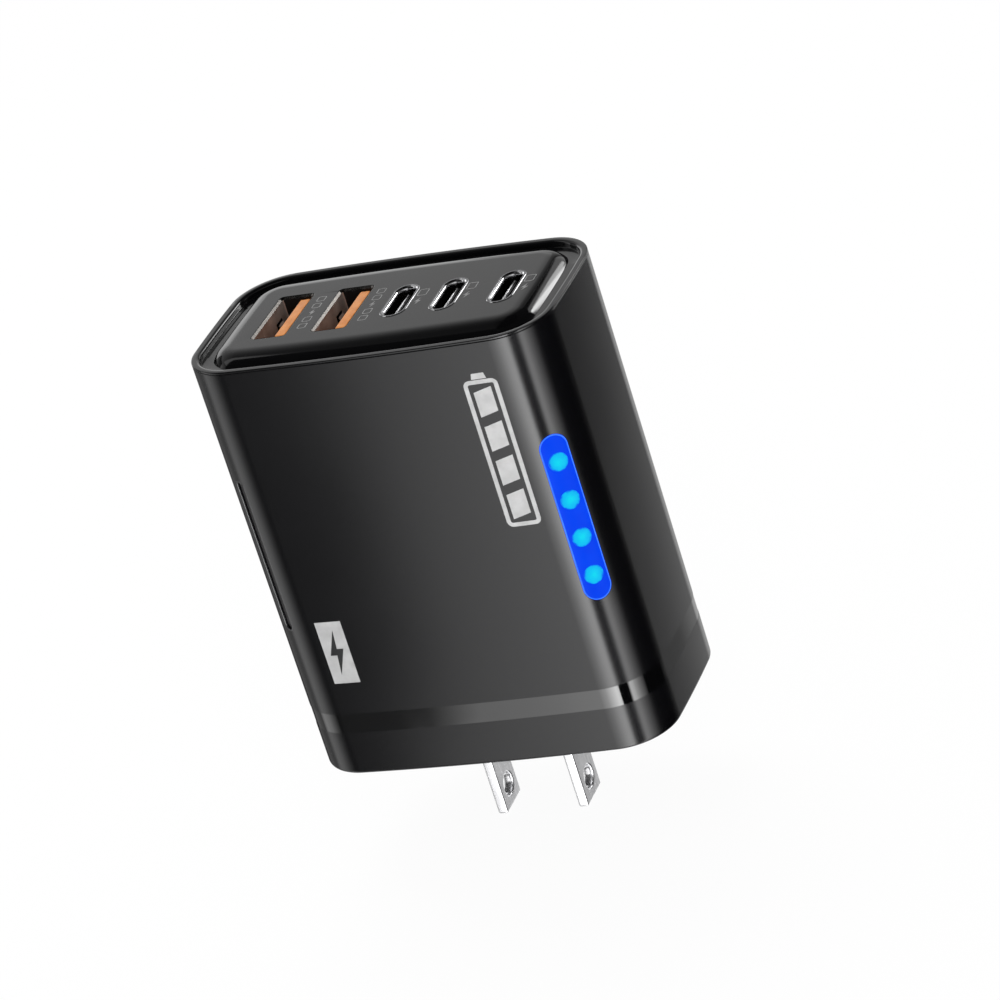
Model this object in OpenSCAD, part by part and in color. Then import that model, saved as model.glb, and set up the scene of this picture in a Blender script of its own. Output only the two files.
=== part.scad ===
// Wall charger: a crowned rectangular sleeve with a recessed port panel on top,
// a lit strip in one front corner and two flat mains blades below.
// Frame: Z up, origin in the middle of the plug face, front face towards -Y, blades below zero.

/* [Body] */
// Overall width across the crowned side faces
body_w = 54.7; // [52:0.1:64]
// Overall depth across the crowned front and back faces
body_d = 31.4; // [30:0.1:38]
// Height of the sleeve from the plug face to the seam under the cap
shell_h = 65.1; // [62.5:0.1:80]
// Radius of the four upright corners
corner_r = 7.9; // [6.5:0.1:9]
// How far the front and back faces bulge in the middle
front_crown = 0.95; // [0.5:0.05:1.6]
// How far the two narrow side faces bulge in the middle
side_crown = 0.45; // [0.25:0.05:0.8]
// Wall of the sleeve
wall = 1.7; // [1.4:0.1:2]
// Thickness of the closed plug end
floor_t = 2.4; // [1.8:0.1:3.2]
// Rounding of the bottom edge
base_edge_r = 0.6; // [0.3:0.05:1]

/* [Gloss band] */
// Height of the lower edge of the polished band
band_z = 6.9; // [4:0.1:12]
// Height of the polished band
band_h = 3.15; // [2:0.05:5]
// Depth of the band below the satin skin
band_depth = 0.05; // [0.03:0.01:0.1]

/* [Port cap] */
// Height of the cap's lip above the seam
lip_h = 0.35; // [0.3:0.05:0.8]
// Width of the lip
lip_w = 1.2; // [1:0.05:1.6]
// Width of the channel between the lip and the port panel
channel_w = 1.8; // [1.4:0.1:2.4]
// Depth of the channel below the lip
channel_depth = 1; // [0.7:0.05:1.3]
// Height of the port panel above the lip
panel_rise = 0.55; // [0.45:0.05:1.2]
// Rounding of the panel's upper edge
panel_edge_r = 1.45; // [0.6:0.05:1.5]
// Depth of the rebate in the sleeve that takes the cap
rebate_h = 2.6; // [2:0.1:3.4]
// Wall left outside the rebate
rebate_w = 0.6; // [0.5:0.05:0.8]
// Depth of the skirt below the cap plate
skirt_h = 4; // [2.5:0.5:6]
// Thickness of the skirt
skirt_t = 1.2; // [0.9:0.1:1.6]

/* [Large ports] */
// Outer width of a large port's metal shell
a_w = 5.3; // [5.1:0.05:5.7]
// Outer length of a large port's metal shell
a_l = 12.85; // [12.6:0.05:13.2]
// Sheet thickness of that shell
a_wall = 0.25; // [0.2:0.05:0.3]
// Thickness of the coloured tongue
tongue_t = 1.7; // [1.4:0.1:1.84]
// Width of the coloured tongue
tongue_w = 11.1; // [10.5:0.1:11.4]
// Distance from the tongue to the nearer shell wall
tongue_side = 0.45; // [0.35:0.05:0.6]
// How far the tongue ends below the shell's mouth
tongue_recess = 0.9; // [0.5:0.1:1.6]

/* [Small ports] */
// Outer width of a small port's metal shell
c_w = 3.45; // [3.2:0.05:3.6]
// Outer length of a small port's metal shell
c_l = 9.25; // [9:0.05:9.5]
// Sheet thickness of that shell
c_wall = 0.42; // [0.3:0.02:0.45]
// Thickness of the small tongue
c_tongue_t = 0.7; // [0.6:0.05:0.8]
// Width of the small tongue
c_tongue_w = 6.7; // [6.2:0.1:6.8]

/* [Port row] */
// Length of a port connector from its board to its mouth
port_len = 10.2; // [9:0.1:11.5]
// How far the connector mouths lie below the panel
port_recess = 0.3; // [0.1:0.05:0.5]
// Shift of the row towards the front
port_shift = 0.4; // [0:0.1:0.8]
// Middle of the first large port from the middle of the body
a_1_x = -16; // [-16.4:0.1:-15.4]
// Middle of the second large port
a_2_x = -6.7; // [-7.4:0.1:-6.4]
// Middle of the first small port
c_1_x = 2.05; // [1.8:0.05:2.6]
// Middle of the second small port
c_2_x = 9.45; // [9.1:0.05:10]
// Middle of the third small port
c_3_x = 18.15; // [17:0.05:18.4]

/* [Light strip] */
// Direction of the strip from the corner's centre, in degrees from the side
light_angle = -55; // [-62:1:-45]
// Width of the lit lens
lens_w = 4.15; // [3.4:0.05:4.6]
// Height of the lower end of the lens
lens_z0 = 23.45; // [20:0.05:26]
// Length of the lens
lens_len = 25.9; // [24:0.1:28]
// Thickness of the flange behind the lens
lens_flange_t = 0.8; // [0.5:0.1:1]
// Diameter of one light point
led_d = 2.8; // [2:0.1:3]
// Distance between light points
led_pitch = 5.9; // [5:0.1:6.4]
// Height of the lowest light point
led_z0 = 27.4; // [25.5:0.1:28]
// Width of the dark slot in the other front corner
slot_w = 1.75; // [1.2:0.05:3]
// Length of the dark slot
slot_len = 24.2; // [20:0.1:26]

/* [Blades] */
// Distance between the two blades
blade_pitch = 12.7; // [12:0.1:13.4]
// Width of a blade
blade_w = 6.35; // [6:0.05:6.6]
// Thickness of a blade
blade_t = 1.5; // [1.2:0.05:1.7]
// Length of a blade below the plug face
blade_len = 15.8; // [14:0.1:18]
// Bevel along the blade's edges
blade_bevel = 0.3; // [0.1:0.05:0.4]
// Diameter of the hole in a blade
blade_hole_d = 3.4; // [2.8:0.1:4]
// Depth of that hole below the plug face
blade_hole_z = 12.6; // [10.5:0.1:13]

/* [Boards] */
// Thickness of both circuit boards
board_t = 1.6; // [1:0.1:2]
// Space behind the main board
board_back = 3.7; // [3.2:0.1:4.6]
// Gap from the port board to the sleeve
board_gap = 0.6; // [0.4:0.1:1]

/* [Hidden] */

cut = 0.5;          // overrun of every cut
gap = 0.05;         // clearance of pieces that fit into each other
grain = 0.001;      // the two large radii are rounded to this, so that the arcs meet exactly
slot_sink = 0.3;    // how far the dark slot's insert lies back
collar_t = 0.9;     // wall of the collars that guide the connectors
collar_h = 2;       // depth of those collars
post_d = 3.2;       // posts that carry the port board
rib_t = 1.2;        // guide ribs for the main board
rib_reach = 1;      // how far a rib covers the board
rib_top_share = 0.55;
led_base_t = 0.8;
led_base_w = 3;
light_board_t = 1;
light_board_w = 4.4;
light_board_end = 1.5;
lens_flange_w = 0.7;  // how far the flange reaches past the window
a_corner_r = 0.6;
spring_w = 2.2;
spring_l = 5.4;
spring_slit = 0.35;
spring_y_share = 0.24;
a_base_h = 3;
contact_w = 1;
contact_t = 0.2;
contact_pitch = 2.5;
contact_end = 1;
c_base_h = 3;
c_recess = 1;
c_contact_w = 0.4;
c_contact_t = 0.08;
c_contact_pitch = 0.9;
holder_w = 21;
holder_d = 10;
holder_h = 4.5;
shoulder_w = 8.4;
shoulder_h = 2;
hole_bevel = 0.25;   // chamfer on both rims of the hole in a blade
tab_w = 4;
tab_h = 1.6;
lead_t = 0.8;
edge_margin = 1;    // from a component to the board's edge
part_gap = 1.2;     // between components
x_cap_share = 0.318;  // widths of components, as shares of the board room along X
x_cap_d = 8;
row_h = 12;         // height of the row of mains components
choke_share = 0.296;
choke_base_t = 1.2;
ring_inner_share = 0.267;  // radii of the ring, as shares of the room it has
ring_outer_share = 0.433;
choke_core_h = 5;
choke_wire = 0.8;
choke_sweep = 130;
fuse_d = 4;
fuse_h = 9;
fuse_cap_h = 2;
fuse_cap_t = 0.2;
y_cap_share = 0.136;
y_cap_t = 2.8;
bridge_share = 0.182;
bridge_l = 6.5;
bridge_t = 2.6;
bridge_lead_w = 1;
bridge_lead_t = 0.3;
bridge_lead_out = 1.2;
bulk_share = 0.284;
can_edge_share = 0.09;
crimp_share = 0.05;
crimp_at_share = 0.12;
core_share = 0.5;
core_l = 14;
core_h_share = 0.75;  // heights above the board, as shares of the room in front of it
core_plate = 3;
core_leg_share = 0.114;
core_centre_share = 0.364;
bobbin_t = 0.9;
rail_l = 23;
rail_w = 2.5;
rail_h = 4;
rail_len_x = 16;
web_w = 10;
out_share = 0.182;
out_l_share = 0.485;
buck_w = 8;
buck_h = 4.2;
buck_base = 0.8;
buck_gap = 1.2;
opto_w = 6.5;
opto_l = 4.6;
opto_h = 3;
link_w = 16;
link_d = 2.5;
link_h = 2.5;
link_x_share = 0.35;
chip_w = 6;
chip_l = 5;
chip_t = 1;
switch_w = 8;
switch_t = 0.9;
switch_x_share = -0.15;
pad_w = 10;
pad_t = 0.6;
spreader_t = 1;
spreader_share = 0.7;
spreader_h = 32;
spreader_lip = 1;
sheet_t = 0.4;
sheet_over = 2;

// The outline is made of eight arcs: two long faces, two side faces and four corners, all tangent.
front_r = round((body_w * body_w / 4 + front_crown * front_crown) / (2 * front_crown) / grain) * grain;
side_r = round((body_d * body_d / 4 + side_crown * side_crown) / (2 * side_crown) / grain) * grain;
front_c = [0, front_r - body_d / 2];
side_c = [body_w / 2 - side_r, 0];
span = norm(side_c - front_c);
run = (side_c - front_c) / span;
reach_f = front_r - corner_r;
reach_s = side_r - corner_r;
along = (reach_f * reach_f - reach_s * reach_s + span * span) / (2 * span);
across = sqrt(reach_f * reach_f - along * along);
corner_c = front_c + along * run + across * [-run.y, run.x];
front_a = atan2(corner_c.y - front_c.y, corner_c.x - front_c.x);
side_a = atan2(corner_c.y - side_c.y, corner_c.x - side_c.x);
front_ray = [cos(front_a), sin(front_a)];
side_ray = [cos(side_a), sin(side_a)];
corner_whole = [round(corner_c.x), round(corner_c.y)];

// Heights that follow from the body and the cap
lip_z = shell_h + lip_h;
channel_z = lip_z - channel_depth;
panel_z = lip_z + panel_rise;
plate_z = shell_h - rebate_h;
panel_in = lip_w + channel_w;
port_z = panel_z - port_recess;
port_y = -port_shift;
port_board_z1 = port_z - port_len;
port_board_z0 = port_board_z1 - board_t;

// The main board stands upright on the floor, near the back wall
board_y1 = body_d / 2 - wall - board_back;
board_y0 = board_y1 - board_t;
board_half = inner_x(board_y1) - board_gap;
board_h = port_board_z0 - floor_t;
row_z = floor_t + holder_h + tab_h + gap + part_gap / 2;
row_mid = row_z + row_h / 2;
upper_z = row_z + row_h + part_gap;
lens_r0 = corner_r - wall - gap - lens_flange_t;
room_x = 2 * (board_half - edge_margin - part_gap);
room_y = board_y0 + body_d / 2 - wall;
room_z = port_board_z0 - link_h - upper_z;
x_cap_w = x_cap_share * room_x;
choke_w = choke_share * room_x;
choke_room = min(choke_w, row_h);
choke_core_r0 = ring_inner_share * choke_room;
choke_core_r1 = ring_outer_share * choke_room;
y_cap_d = y_cap_share * room_x;
bridge_w = bridge_share * room_x;
bulk_d = min(bulk_share * room_x, room_z / 2 - part_gap);
bulk_l = board_y0 - corner_c.y - lens_r0 * sin(light_angle) - part_gap / 3;
core_w = core_share * room_x;
core_h = core_h_share * room_y;
core_centre_d = core_centre_share * core_w;
core_leg = core_leg_share * core_w;
bobbin_d = core_w - 2 * core_leg - part_gap / 3;
out_d = min(out_share * room_x, room_z / 3 - part_gap);
out_l = out_l_share * room_y;
spreader_w = 2 * spreader_share * board_half;
x_cap_x = -board_half + edge_margin + x_cap_w / 2;
choke_x = x_cap_x + x_cap_w / 2 + part_gap / 2 + choke_w / 2;
fuse_x = choke_x + choke_w / 2 + part_gap / 2 + y_cap_d / 2;
bridge_x = board_half - edge_margin - bridge_w / 2;
bulk_x = -board_half + edge_margin + bulk_d / 2;
core_x = bulk_x + bulk_d / 2 + part_gap + core_w / 2;
core_z = upper_z + rail_l / 2;
out_x = board_half - edge_margin - out_d / 2;
spreader_z = core_z;

led_base_x = lens_r0 - led_base_t / 2;
light_board_x = led_base_x - led_base_t;

function inner_x(y) = corner_c.x + sqrt(pow(corner_r - wall, 2) - pow(max(abs(y) - abs(corner_c.y), 0), 2));

// Half section of a round can or disc, with rounded edges
module edge_section(r0, r1, z0, z1, top_r, bottom_r) {
    difference() {
        translate([r0, z0])
            square([r1 - r0, z1 - z0]);
        if (top_r > 0)
            translate([r1 - top_r, z1 - top_r])
                difference() {
                    square(top_r + cut);
                    circle(r = top_r, $fn = 48);
                }
        if (bottom_r > 0)
            translate([r1 - bottom_r, z0 + bottom_r])
                mirror([0, 1])
                    difference() {
                        square(bottom_r + cut);
                        circle(r = bottom_r, $fn = 48);
                    }
    }
}

// The four corner centres; whole millimetres first, then the rest, which keeps more digits
module at_corners() {
    for (sx = [0, 1], sy = [0, 1])
        mirror([sx, 0, 0])
            mirror([0, sy, 0])
                translate(corner_whole)
                    translate(corner_c - corner_whole)
                        children();
}

// A plate with the body's outline, drawn in by an inset: two crossing strips of large discs, and
// four corner discs, all with the same edge section
module slab(inset, z0, z1, top_r = 0, bottom_r = 0) {
    disc_strip(front_c, front_r - inset, front_ray, [1, -1], z0, z1, top_r, bottom_r);
    disc_strip(side_c, side_r - inset, side_ray, [-1, 1], z0, z1, top_r, bottom_r);
    at_corners()
        rotate_extrude($fn = 96)
            edge_section(0, corner_r - inset, z0, z1, top_r, bottom_r);
}

// What two opposite large discs share, between the rays through the corner centres
module disc_strip(c, r, ray, side, z0, z1, top_r, bottom_r) {
    inner = corner_c;
    outer = corner_c + 2 * corner_r * ray;
    intersection() {
        translate(c)
            rotate_extrude($fn = 1440)
                edge_section(0, r, z0, z1, top_r, bottom_r);
        translate(-c)
            rotate_extrude($fn = 1440)
                edge_section(0, r, z0, z1, top_r, bottom_r);
        rise(z0 - cut, z1 + cut)
            polygon([outer, inner, flip(inner, side), flip(outer, side),
                -outer, -inner, -flip(inner, side), -flip(outer, side)]);
    }
}
function flip(p, side) = [side.x * p.x, side.y * p.y];

module rise(z0, z1) {
    translate([0, 0, z0])
        linear_extrude(z1 - z0)
            children();
}

// Places along the normal of a front corner: X outwards, Y round the corner, Z up
module at_corner(left = false) {
    mirror([left ? 1 : 0, 0, 0])
        translate([corner_c.x, corner_c.y, 0])
            rotate([0, 0, light_angle])
                children();
}

// A bar with half-round ends that runs up the corner and reaches from x0 to x1
module pill(x0, x1, w, z0, z1) {
    translate([x0, -w / 2, z0 + w / 2])
        cube([x1 - x0, w, z1 - z0 - w]);
    for (z = [z0 + w / 2, z1 - w / 2])
        translate([x0, 0, z])
            rotate([0, 90, 0])
                cylinder(h = x1 - x0, d = w, $fn = 64);
}

module tube(r0, r1, z0, z1) {
    translate([0, 0, z0])
        difference() {
            cylinder(h = z1 - z0, r = r1, $fn = 96);
            translate([0, 0, -cut])
                cylinder(h = z1 - z0 + 2 * cut, r = r0, $fn = 96);
        }
}

// Rectangle with round corners, in the middle of the port row
module round_rect(w, l, r) {
    union() {
        square([w - 2 * r, l], center = true);
        square([w, l - 2 * r], center = true);
        for (x = [r - w / 2, w / 2 - r], y = [r - l / 2, l / 2 - r])
            translate([x, y])
                circle(r = r, $fn = 32);
    }
}

module stadium(w, l) {
    square([w, l - w], center = true);
    for (y = [w - l, l - w])
        translate([0, y / 2])
            circle(d = w, $fn = 48);
}

module at_port(x) {
    translate([x, port_y, 0])
        children();
}

module on_board(x, z) {
    translate([x, board_y0, z])
        rotate([90, 0, 0])
            children();
}

module behind_board(x, z) {
    translate([x, board_y1, z])
        rotate([-90, 0, 0])
            children();
}

module block(w, l, h, z = 0) {
    translate([-w / 2, -l / 2, z])
        cube([w, l, h]);
}

module window(left) {
    at_corner(left)
        if (left)
            pill(lens_r0, corner_r + cut, slot_w, slot_z0, slot_z0 + slot_len);
        else
            pill(lens_r0, corner_r + cut, lens_w, lens_z0, lens_z0 + lens_len);
}
slot_z0 = lens_z0 + (lens_len - slot_len) / 8;

module body_shell() {
    color("#242426")
        difference() {
            union() {
                difference() {
                    slab(0, 0, shell_h, bottom_r = base_edge_r);
                    slab(wall, floor_t, shell_h + cut);
                }
                board_guides();
            }
            slab(rebate_w, plate_z, shell_h + cut);
            difference() {
                slab(-cut, band_z, band_z + band_h);
                slab(band_depth, band_z - cut, band_z + band_h + cut);
            }
            window(false);
            window(true);
            for (s = [-1, 1])
                translate([s * blade_pitch / 2, 0, -cut])
                    block(blade_t + 2 * gap, blade_w + 2 * gap, floor_t + 2 * cut);
        }
}

// Two upright grooves in the side walls that hold the main board
module board_guides() {
    rib_h = (plate_z - floor_t) * rib_top_share;
    intersection() {
        slab(wall / 2, floor_t, floor_t + rib_h);
        for (s = [-1, 1], y = [board_y0 - gap - rib_t, board_y1 + gap])
            translate([s > 0 ? board_half - rib_reach : -board_half - wall - rib_t, y, floor_t - cut])
                cube([rib_reach + wall + rib_t, rib_t, rib_h + cut]);
    }
}

module port_cap() {
    color("#2b2b2e")
        difference() {
            union() {
                difference() {
                    union() {
                        slab(rebate_w + gap, plate_z, lip_z);
                        slab(0, shell_h, lip_z);
                    }
                    slab(lip_w, channel_z, lip_z + cut);
                }
                slab(panel_in, channel_z - cut, panel_z, top_r = panel_edge_r);
                difference() {
                    slab(wall + 2 * gap, plate_z - skirt_h, plate_z + cut);
                    slab(wall + 2 * gap + skirt_t, plate_z - skirt_h - cut, plate_z);
                }
                for (x = [a_1_x, a_2_x])
                    at_port(x)
                        rise(plate_z - collar_h, plate_z + cut)
                            round_rect(a_w + 2 * collar_t, a_l + 2 * collar_t, a_corner_r + collar_t);
                for (x = [c_1_x, c_2_x, c_3_x])
                    at_port(x)
                        rise(plate_z - collar_h, plate_z + cut)
                            stadium(c_w + 2 * collar_t, c_l + 2 * collar_t);
                for (x = [-post_x, post_x], y = [-post_y, post_y])
                    translate([x, y, port_board_z1])
                        cylinder(h = plate_z + cut - port_board_z1, d = post_d, $fn = 48);
            }
            for (x = [a_1_x, a_2_x])
                at_port(x)
                    rise(plate_z - skirt_h - cut, panel_z + cut)
                        round_rect(a_w + 2 * gap, a_l + 2 * gap, a_corner_r + gap);
            for (x = [c_1_x, c_2_x, c_3_x])
                at_port(x)
                    rise(plate_z - skirt_h - cut, panel_z + cut)
                        stadium(c_w + 2 * gap, c_l + 2 * gap);
        }
}
post_x = inner_x(0) - skirt_t - post_d / 2 - gap;
post_y = abs(corner_c.y) + post_d / 2;

// Lens of the light strip: it fills the window and has a flange behind the wall
module light_lens() {
    color("#0a3cf0")
        at_corner()
            difference() {
                union() {
                    intersection() {
                        pill(0, corner_r + cut, lens_w - 2 * gap, lens_z0 + gap, lens_z0 + lens_len - gap);
                        tube(lens_r0, corner_r, lens_z0 - cut, lens_z0 + lens_len + cut);
                    }
                    intersection() {
                        pill(0, corner_r, lens_w + 2 * lens_flange_w, lens_z0 - lens_flange_w,
                            lens_z0 + lens_len + lens_flange_w);
                        tube(lens_r0, corner_r - wall - gap, lens_z0 - lens_flange_w - cut,
                            lens_z0 + lens_len + lens_flange_w + cut);
                    }
                }
                for (i = [0:3])
                    translate([0, 0, led_z0 + i * led_pitch])
                        rotate([0, 90, 0])
                            cylinder(h = corner_r + cut, d = led_d + 2 * gap, $fn = 48);
            }
}

// Dark insert of the narrow slot in the other front corner
module side_strip() {
    color("#0c0c0e")
        at_corner(true) {
            intersection() {
                pill(0, corner_r, slot_w - 2 * gap, slot_z0 + gap, slot_z0 + slot_len - gap);
                tube(lens_r0, corner_r - slot_sink, slot_z0 - cut, slot_z0 + slot_len + cut);
            }
            intersection() {
                pill(0, corner_r, slot_w + 2 * lens_flange_w, slot_z0 - lens_flange_w,
                    slot_z0 + slot_len + lens_flange_w);
                tube(lens_r0, corner_r - wall - gap, slot_z0 - lens_flange_w - cut,
                    slot_z0 + slot_len + lens_flange_w + cut);
            }
        }
}

module light_board() {
    color("#1f5a34")
        at_corner()
            translate([light_board_x - light_board_t, -light_board_w / 2,
                led_z0 - light_board_end - led_base_w / 2])
                cube([light_board_t, light_board_w, 3 * led_pitch + led_base_w + 2 * light_board_end]);
}

// One light point: a small base on the board and a round light pipe that ends flush in the lens
module led(i) {
    color("#19e0ff")
        at_corner()
            translate([0, 0, led_z0 + (i - 1) * led_pitch]) {
                translate([light_board_x, -led_base_w / 2, -led_base_w / 2])
                    cube([led_base_t, led_base_w, led_base_w]);
                intersection() {
                    translate([light_board_x, 0, 0])
                        rotate([0, 90, 0])
                            cylinder(h = corner_r, d = led_d, $fn = 48);
                    translate([0, 0, -led_d])
                        cylinder(h = 2 * led_d, r = corner_r, $fn = 96);
                }
            }
}
module led_1() { led(1); }
module led_2() { led(2); }
module led_3() { led(3); }
module led_4() { led(4); }

// Folded metal shell of a large port, with spring fingers in its two long walls
module usb_a_shell(x) {
    color("#c9ccd1")
        at_port(x)
            difference() {
                rise(port_board_z1, port_z)
                    difference() {
                        round_rect(a_w, a_l, a_corner_r);
                        round_rect(a_w - 2 * a_wall, a_l - 2 * a_wall, a_corner_r - a_wall);
                    }
                for (s = [-1, 1], q = [-1, 1])
                    translate([s * a_w / 2, q * a_l * spring_y_share, port_board_z1 + a_base_h])
                        spring_slits();
            }
}
module spring_slits() {
    difference() {
        block(2 * (a_wall + gap), spring_w, spring_l);
        block(a_w, spring_w - 2 * spring_slit, spring_l - spring_slit);
    }
}
module usb_a_shell_1() { usb_a_shell(a_1_x); }
module usb_a_shell_2() { usb_a_shell(a_2_x); }

tongue_x = a_w / 2 - a_wall - tongue_side - tongue_t / 2;

module usb_a_tongue(x) {
    color("#f0853a")
        at_port(x) {
            rise(port_board_z1, port_board_z1 + a_base_h)
                round_rect(a_w - 2 * a_wall - 2 * gap, a_l - 2 * a_wall - 2 * gap, a_corner_r - a_wall - gap);
            translate([tongue_x, 0, 0])
                block(tongue_t, tongue_w, port_len - tongue_recess, port_board_z1);
        }
}
module usb_a_tongue_1() { usb_a_tongue(a_1_x); }
module usb_a_tongue_2() { usb_a_tongue(a_2_x); }

module usb_a_contacts(x) {
    color("#d8b45a")
        at_port(x)
            for (i = [0:3])
                translate([tongue_x - tongue_t / 2 - contact_t / 2, (i - 3 / 2) * contact_pitch,
                    port_board_z1 + a_base_h])
                    block(contact_t, contact_w, port_len - a_base_h - tongue_recess - contact_end);
}
module usb_a_contacts_1() { usb_a_contacts(a_1_x); }
module usb_a_contacts_2() { usb_a_contacts(a_2_x); }

module usb_c_shell(x) {
    color("#d6d8dc")
        at_port(x)
            rise(port_board_z1, port_z)
                difference() {
                    stadium(c_w, c_l);
                    stadium(c_w - 2 * c_wall, c_l - 2 * c_wall);
                }
}
module usb_c_shell_1() { usb_c_shell(c_1_x); }
module usb_c_shell_2() { usb_c_shell(c_2_x); }
module usb_c_shell_3() { usb_c_shell(c_3_x); }

module usb_c_tongue(x) {
    color("#18181a")
        at_port(x) {
            rise(port_board_z1, port_board_z1 + c_base_h)
                stadium(c_w - 2 * c_wall - 2 * gap, c_l - 2 * c_wall - 2 * gap);
            block(c_tongue_t, c_tongue_w, port_len - c_recess, port_board_z1);
        }
}
module usb_c_tongue_1() { usb_c_tongue(c_1_x); }
module usb_c_tongue_2() { usb_c_tongue(c_2_x); }
module usb_c_tongue_3() { usb_c_tongue(c_3_x); }

module usb_c_contacts(x) {
    color("#d8b45a")
        at_port(x)
            for (s = [-1, 1], i = [0:5])
                translate([s * (c_tongue_t + c_contact_t) / 2, (i - 5 / 2) * c_contact_pitch,
                    port_board_z1 + c_base_h])
                    block(c_contact_t, c_contact_w, port_len - c_base_h - c_recess - contact_end);
}
module usb_c_contacts_1() { usb_c_contacts(c_1_x); }
module usb_c_contacts_2() { usb_c_contacts(c_2_x); }
module usb_c_contacts_3() { usb_c_contacts(c_3_x); }

module port_board() {
    color("#1f6b3c")
        slab(wall + 2 * gap + board_gap, port_board_z0, port_board_z1);
}

module main_board() {
    color("#1f6b3c")
        translate([-board_half, board_y0, floor_t])
            cube([2 * board_half, board_t, board_h]);
}

// Pin block that joins the two boards at a right angle
module board_link() {
    color("#202022")
        on_board(link_x_share * board_half, port_board_z0 - link_h / 2)
            block(link_w, link_h, link_d);
}

// A flat blade with bevelled edges, a hole near its end, and shoulders and a tab inside the body
module blade(s) {
    color("#d4d6da")
        translate([s * blade_pitch / 2, 0, 0])
            difference() {
                union() {
                    difference() {
                        block(blade_t, blade_w, blade_len + floor_t, -blade_len);
                        for (a = [0, 180], y = [-1, 1])
                            rotate([0, 0, a])
                                translate([blade_t / 2, y * blade_w / 2, -blade_len - cut])
                                    rotate([0, 0, 45])
                                        block(blade_bevel, blade_bevel, blade_len);
                        for (a = [0, 180])
                            rotate([0, 0, a])
                                translate([blade_t / 2, 0, -blade_len])
                                    rotate([0, 45, 0])
                                        translate([-blade_bevel, -blade_w, -blade_bevel])
                                            cube([2 * blade_bevel, 2 * blade_w, 2 * blade_bevel]);
                    }
                    block(blade_t, shoulder_w, shoulder_h, floor_t);
                    block(blade_t, tab_w, holder_h + tab_h, floor_t);
                }
                translate([0, 0, -blade_hole_z])
                    for (a = [-90, 90])
                        rotate([0, a, 0]) {
                            cylinder(h = blade_t, d = blade_hole_d, $fn = 64);
                            translate([0, 0, blade_t / 2 - hole_bevel])
                                cylinder(h = 2 * hole_bevel, r1 = blade_hole_d / 2,
                                    r2 = blade_hole_d / 2 + 2 * hole_bevel, $fn = 64);
                        }
            }
}
module blade_left() { blade(-1); }
module blade_right() { blade(1); }

module blade_holder() {
    color("#3a3a3e")
        difference() {
            block(holder_w, holder_d, holder_h, floor_t);
            for (s = [-1, 1])
                translate([s * blade_pitch / 2, 0, 0]) {
                    block(blade_t + 2 * gap, shoulder_w + 2 * gap, shoulder_h + cut + gap, floor_t - cut);
                    block(blade_t + 2 * gap, tab_w + 2 * gap, holder_h + 2 * cut, floor_t - cut);
                }
            block(blade_pitch / 2, holder_d + 2 * cut, holder_h / 2, floor_t - cut);
        }
}

module mains_lead(s) {
    color("#b87b42")
        translate([s * blade_pitch / 2 - lead_t / 2, tab_w / 2, floor_t + holder_h])
            cube([lead_t, board_y0 - tab_w / 2, tab_h]);
}
module mains_lead_left() { mains_lead(-1); }
module mains_lead_right() { mains_lead(1); }

module fuse() {
    color("#d9d2b8")
        on_board(fuse_x, row_z + fuse_d / 2)
            union() {
                cylinder(h = fuse_h, d = fuse_d - 2 * fuse_cap_t, $fn = 48);
                cylinder(h = fuse_cap_h, d = fuse_d, $fn = 48);
                translate([0, 0, fuse_h - fuse_cap_h])
                    cylinder(h = fuse_cap_h, d = fuse_d, $fn = 48);
            }
}

module x_capacitor() {
    color("#e0b42c")
        on_board(x_cap_x, row_mid)
            difference() {
                block(x_cap_w, row_h, x_cap_d);
                block(x_cap_w - 2 * edge_margin, row_h + 2 * cut, edge_margin / 2 + cut, -cut);
            }
}

module y_capacitor() {
    color("#2d62c8")
        on_board(fuse_x, row_z + row_h - y_cap_d / 2)
            rotate_extrude($fn = 64)
                edge_section(0, y_cap_d / 2, 0, y_cap_t, y_cap_t / 3, 0);
}

module choke_base() {
    color("#2e2e30")
        on_board(choke_x, row_mid)
            block(choke_w, row_h, choke_base_t);
}

choke_z = choke_base_t + choke_wire + gap;

module choke_core() {
    color("#4c5d3c")
        on_board(choke_x, row_mid)
            tube(choke_core_r0, choke_core_r1, choke_z, choke_z + choke_core_h);
}

// Two winding halves wrapped round the ring core
module choke_winding() {
    color("#b5622e")
        on_board(choke_x, row_mid)
            for (a = [-choke_sweep / 2, 180 - choke_sweep / 2])
                rotate([0, 0, a])
                    rotate_extrude(angle = choke_sweep, $fn = 96)
                        difference() {
                            translate([choke_core_r0 - choke_wire - gap, choke_base_t])
                                square([choke_core_r1 - choke_core_r0 + 2 * (choke_wire + gap),
                                    choke_core_h + 2 * (choke_wire + gap)]);
                            translate([choke_core_r0 - gap, choke_z - gap])
                                square([choke_core_r1 - choke_core_r0 + 2 * gap, choke_core_h + 2 * gap]);
                        }
}

module bridge_rectifier() {
    color("#1b1b1d")
        on_board(bridge_x, row_mid)
            union() {
                block(bridge_w, bridge_l, bridge_t);
                for (s = [-1, 1], q = [-1, 1])
                    translate([q * bridge_w / 4, s * (bridge_l + bridge_lead_out) / 2, 0])
                        block(bridge_lead_w, bridge_lead_out, bridge_lead_t);
            }
}

// Aluminium can with a rolled crimp near its base and a rounded top edge
module can(d, l) {
    r = d / 2;
    edge = d * can_edge_share;
    rotate_extrude($fn = 72)
        difference() {
            edge_section(0, r, 0, l, edge, edge / 2);
            translate([r + d * crimp_share / 2, l * crimp_at_share])
                circle(r = d * crimp_share, $fn = 32);
        }
}

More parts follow.
